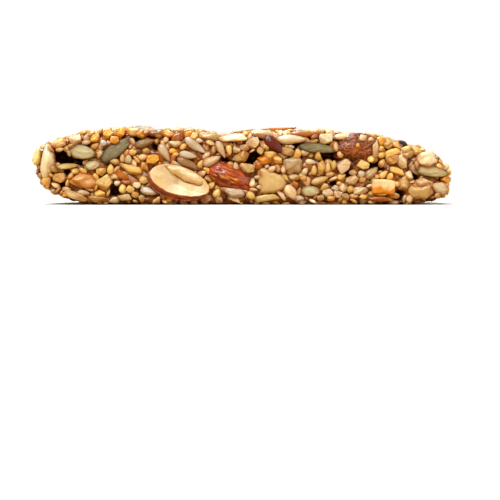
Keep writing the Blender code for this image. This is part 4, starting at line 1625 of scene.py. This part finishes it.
def join_copies(name, kind, rows):
    all_points = []
    all_faces = []
    tones = []
    owns = []
    marks = []
    touches = []
    smooth = []
    start = 0
    for variant, centre, size, axes, tone, offset in rows:
        master = MASTERS[kind][variant]
        local = master["points"] * size
        co = local @ np.array(axes).T + centre
        co[:, 2] = np.maximum(co[:, 2], 0.0)
        all_points.append(co)
        all_faces.extend([tuple(start + corner for corner in face) for face in master["faces"]])
        tones.append(np.tile(tone, (len(co), 1)))
        owns.append(local * (OWN_STRETCH.get(kind, 1.0), 1, 1) + offset * 0.2)
        marks.append(master["marks"])
        smooth.extend(master["smooth"])
        # Each point takes the stronger of the contact darkening and the underside darkening: toffee and
        # painted shade.
        touches.append(np.maximum(packer.toffee_and_shade(co, centre, size), underside_toffee_and_shade(local / size, size, axes)))
        start += len(co)
    co, tone, own = np.vstack(all_points), np.vstack(tones), np.vstack(owns)
    piece = mesh_of(name, co, all_faces, tone, own, np.hstack(marks), np.hstack(touches), smooth)
    piece.data.materials.append(FINISHES[kind])
    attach(piece, "root")
    return piece


NAMES = {
    "sesame": "sesame_seeds",
    "crumb": "nut_crumbs",
    "chunk": "chopped_nuts",
    "sliver": "nut_slivers",
    "sunflower": "sunflower_kernels",
    "pumpkin": "pumpkin_seeds",
}
for kind, rows in laid.items():
    piece = join_copies(NAMES[kind], kind, rows)
    piece.data.calc_loop_triangles()
    print(piece.name, len(rows), "copies,", len(piece.data.loop_triangles), "triangles")

# %% [markdown]
# ## Toffee
# Under the seeds lies the toffee that holds them. It shows only in the gaps, so it is the bar's own
# outline, taken in by the thickness of a seed and made uneven. Toffee is amber where it is thin, and nearly
# black in a hollow, where little light comes back out. Clear toffee would show that by itself but renders
# slowly, so here that darkness is painted shade: the colour follows the depth.

# %% The toffee core
TOFFEE_INSET = 1.3 * MM
TOFFEE_BASE = 0.5 * MM


def toffee_core():
    """The bar's form under the seeds, folded, with a pit for each hollow."""
    bm = bar_form(FORM_CELLS, TOFFEE_INSET)
    mesh = bpy.data.meshes.new("toffee")
    bm.to_mesh(mesh)
    bm.free()
    piece = bpy.data.objects.new("toffee", mesh)
    bpy.context.scene.collection.objects.link(piece)
    apply_modifier(piece, "SUBSURF", levels=2, render_levels=2, subdivision_type="SIMPLE")
    dent(piece, "toffee_folds", 2.2 * MM, 2.0 * MM)
    for vert in piece.data.vertices:
        vert.co.z = max(vert.co.z, TOFFEE_BASE)
        if vert.co.y < -WIDTH / 4:
            for x, z, radius in HOLLOWS:
                away = math.hypot(vert.co.x / MM - x, vert.co.z / MM - z) / radius
                vert.co.y += 0.8 * PIT_DEPTH * bell(away / 1.1)
    piece.data.polygons.foreach_set("use_smooth", [True] * len(piece.data.polygons))
    co = np.array([vert.co for vert in piece.data.vertices])
    write_attribute(piece.data, "depth", "FLOAT", depth_of(co))
    return piece


def toffee_finish():
    """Amber in patches, and nearly black where it lies deep: painted shade for the hollows."""
    material = bpy.data.materials.new("toffee_glaze")
    material.use_nodes = True
    tree = material.node_tree
    shader = tree.nodes["Principled BSDF"]
    place = node(tree, "ShaderNodeTexCoord").outputs["Object"]
    patches = spread(tree, speckle(tree, place, 420.0, 4.0, 0.8), 0.35, 0.65)
    colour = blend(tree, patches, paint(66, 21, 2), paint(166, 90, 22))
    # Painted shade: the deeper the toffee lies, the darker it is, as little light comes back out of a
    # hollow.
    deep = spread(tree, read(tree, "depth"), 1.6 * MM, 3.0 * MM)
    colour = blend(tree, deep, colour, paint(44, 10, 1))
    link(tree, colour, shader.inputs["Base Color"])
    height = node(tree, "ShaderNodeBump")
    height.inputs["Strength"].default_value = 0.5
    height.inputs["Distance"].default_value = 0.4 * MM
    link(tree, speckle(tree, place, 1500.0, 3.0), height.inputs["Height"])
    link(tree, height.outputs["Normal"], shader.inputs["Normal"])
    shader.inputs["Subsurface Weight"].default_value = 0.4
    shader.inputs["Subsurface Radius"].default_value = (1.0, 0.45, 0.12)
    shader.inputs["Subsurface Scale"].default_value = 1.2 * MM
    shader.inputs["Roughness"].default_value = 0.25
    shader.inputs["Specular IOR Level"].default_value = 0.35
    shader.inputs["Coat Weight"].default_value = 0.1
    shader.inputs["Coat Roughness"].default_value = 0.08
    return material


toffee = toffee_core()
toffee.data.materials.append(toffee_finish())
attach(toffee, "root")
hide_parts("bar")
print("toffee:", len(toffee.data.polygons), "faces")

# %% [markdown]
# ## Finishes of the large pieces
# These are seen from near, so each needs more than a tone. An almond's skin is ridged along the nut, so its
# colour, with pale streaks that are partly painted highlights, follows the nut's own lengthwise coordinate,
# which each mesh carries as the attribute named own. The mark says where a half almond is flesh or skin and
# where its groove and valley get a painted shade of brown, and where the fruit cube turns from orange to
# pale, as painted light from above. A picture of each would be quicker, but would fit only one piece from
# one side.

# %% Tones of the nuts
NUT_TONES = {
    "front_split_almond": "cream",
    "front_pale_nut": "biscuit",
    "front_brown_nut": "taupe",
    "front_toffee_nut": "caramel",
    "left_end_nut": "cream",
    "right_cream_nut": "peach",
    "right_low_nut": "biscuit",
    "top_split_almond": "cream",
    "back_split_almond": "cream",
    "back_pale_nut": "peach",
    "under_split_almond": "cream",
    "under_pale_nut": "cream",
}
print(len(NUT_TONES), "nuts with a tone of their own")


# %% Almond skin and flesh
def lengthwise(tree):
    """The nut's own coordinates, squeezed along it, so that a pattern on them runs lengthwise."""
    squeeze = node(tree, "ShaderNodeMapping")
    squeeze.inputs["Scale"].default_value = (0.22, 1.0, 1.0)
    link(tree, read(tree, "own", "Vector"), squeeze.inputs["Vector"])
    return squeeze.outputs["Vector"]


def skin_colour(tree):
    """Almond skin: red-brown, with paler ridges along the nut, whose bright orange streaks are partly
    painted highlights.
    """
    ridges = spread(tree, speckle(tree, lengthwise(tree), 620.0, 5.0, 0.8), 0.36, 0.64)
    # The pale streaks are partly the skin's own ridges and partly painted highlights.
    pale = spread(tree, speckle(tree, lengthwise(tree), 1100.0, 4.0, 0.6), 0.54, 0.74)
    return blend(tree, pale, blend(tree, ridges, paint(84, 16, 6), paint(194, 84, 32)), paint(240, 150, 66))


def half_colour(tree):
    """A half almond: its flesh, then a painted shade of brown in the groove and valley, where the mark is
    about a half, and skin where it is 1.
    """
    mark = read(tree, "mark")
    clouded = spread(tree, speckle(tree, read(tree, "own", "Vector"), 260.0, 3.0, 0.4), 0.35, 0.65)
    flesh = blend(tree, clouded, paint(232, 198, 140), own_colour(tree))
    # Painted shade: the groove and the valley under the germ turn brown.
    flesh = blend(tree, spread(tree, mark, 0.03, 0.45), flesh, paint(168, 100, 42))
    skin = blend(tree, 0.3, skin_colour(tree), paint(198, 124, 78))
    return blend(tree, spread(tree, mark, 0.5, 0.8), flesh, skin)


# %% Date and candied fruit
def date_colour(tree):
    """A sticky fruit: dark and amber in patches."""
    patches = spread(tree, speckle(tree, read(tree, "own", "Vector"), 700.0, 4.0, 1.2), 0.35, 0.65)
    return blend(tree, patches, paint(56, 18, 6), paint(184, 98, 28))


def fruit_cube_colour(tree):
    """Candied fruit: a deep orange, turning pale towards the marked side, the top of the front cube: painted
    light from above.
    """
    own = read(tree, "own", "Vector")
    patches = spread(tree, speckle(tree, own, 420.0, 3.0, 0.8), 0.3, 0.7, -0.25, 0.25)
    level = node(tree, "ShaderNodeMath", operation="ADD")
    link(tree, read(tree, "mark"), level.inputs[0])
    link(tree, patches, level.inputs[1])
    # Painted light: the cube is paler where its mark is high.
    return blend(tree, spread(tree, level.outputs[0], 0.28, 0.66), paint(224, 138, 12), paint(248, 218, 162))


# %% Glints
def grainy(material, scale, pattern=None):
    """Gives a finish fine grains for its bump, which break its highlights up into glints."""
    tree = material.node_tree
    bump = next(n for n in tree.nodes if n.type == "BUMP")
    bump.inputs["Strength"].default_value = 1.0
    bump.inputs["Distance"].default_value = 0.5 * MM
    place = pattern(tree) if pattern else read(tree, "own", "Vector")
    link(tree, speckle(tree, place, scale, 3.0, 0.4), bump.inputs["Height"])
    return material


# %% The five finishes
# shallow and deep are in mm: the glaze and the painted shade start at the first depth and are full at the
# second.
SKIN = {"mottle": 0.0, "glow": 0.04, "roughness": (0.14, 0.3), "shallow": 1.6, "deep": 5.0}
DATE = {"mottle": 0.3, "glow": 0.2, "roughness": (0.1, 0.22), "shallow": 2.0, "deep": 6.0}
FRUIT = {"mottle": 0.3, "glow": 0.3, "bump": 0.3, "roughness": (0.25, 0.4), "shallow": 2.0, "deep": 6.0}
nut_flesh = glazed_and_shaded("nut_flesh", mottle=0.35, glow=0.35, roughness=(0.28, 0.44))
almond_half = glazed_and_shaded("almond_half", mottle=0.3, glow=0.35, roughness=(0.42, 0.56), colour_of=half_colour)
almond_skin = grainy(glazed_and_shaded("almond_skin", colour_of=skin_colour, **SKIN), 1100.0, lengthwise)
date_flesh = grainy(glazed_and_shaded("date_flesh", colour_of=date_colour, **DATE), 2000.0)
orange_fruit = glazed_and_shaded("orange_fruit", colour_of=fruit_cube_colour, **FRUIT)
NUT_FINISH = {"half": almond_half, "almond": almond_skin, "date": date_flesh, "cube": orange_fruit}
print(sorted(material.name for material in NUT_FINISH.values()), "and", nut_flesh.name)

# %% [markdown]
# ## Setting the large pieces in
# Each form was moulded with half sizes of 1, so it only has to be scaled, turned and moved to where its
# solid lies. The object itself stays at the origin and all of that goes into the mesh, so the patterns stay
# in place.

# %% Setting the large pieces in
for number, (name, shape, *_) in enumerate(NUTS):
    centre, size, axes = PLACES[name]
    source, marks = shape_nut(shape, number)
    count = len(source.data.vertices)
    local = np.empty(count * 3)
    source.data.vertices.foreach_get("co", local)
    local = local.reshape(-1, 3)
    faces = [tuple(face.vertices) for face in source.data.polygons]
    bpy.data.objects.remove(source)
    scaled = local * np.array(size)
    co = scaled @ np.array(axes).T + np.array(centre)
    co[:, 2] = np.maximum(co[:, 2], 0.0)
    tone = np.tile(TONES[NUT_TONES.get(name, "tan")], (count, 1))
    marks = np.array(marks) if marks else np.zeros(count)
    # Where seeds meet a large piece, it is darkened too, with toffee and painted shade.
    toffee_and_shade = packer.toffee_and_shade(co, centre, size)
    piece = mesh_of(name + "_look", co, faces, tone, scaled + number * 0.01, marks, toffee_and_shade)
    piece.data.materials.append(NUT_FINISH.get(shape, nut_flesh))
    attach(piece, "root")
    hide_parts(name)
print(len(NUTS), "large pieces set in")

# %% [markdown]
# ## Freeing the outline
# The dressed bar has to be as large as the solid model that it covers. The outline's mesh is no longer
# needed, so it is freed.

# %% Free the outline
form.free()
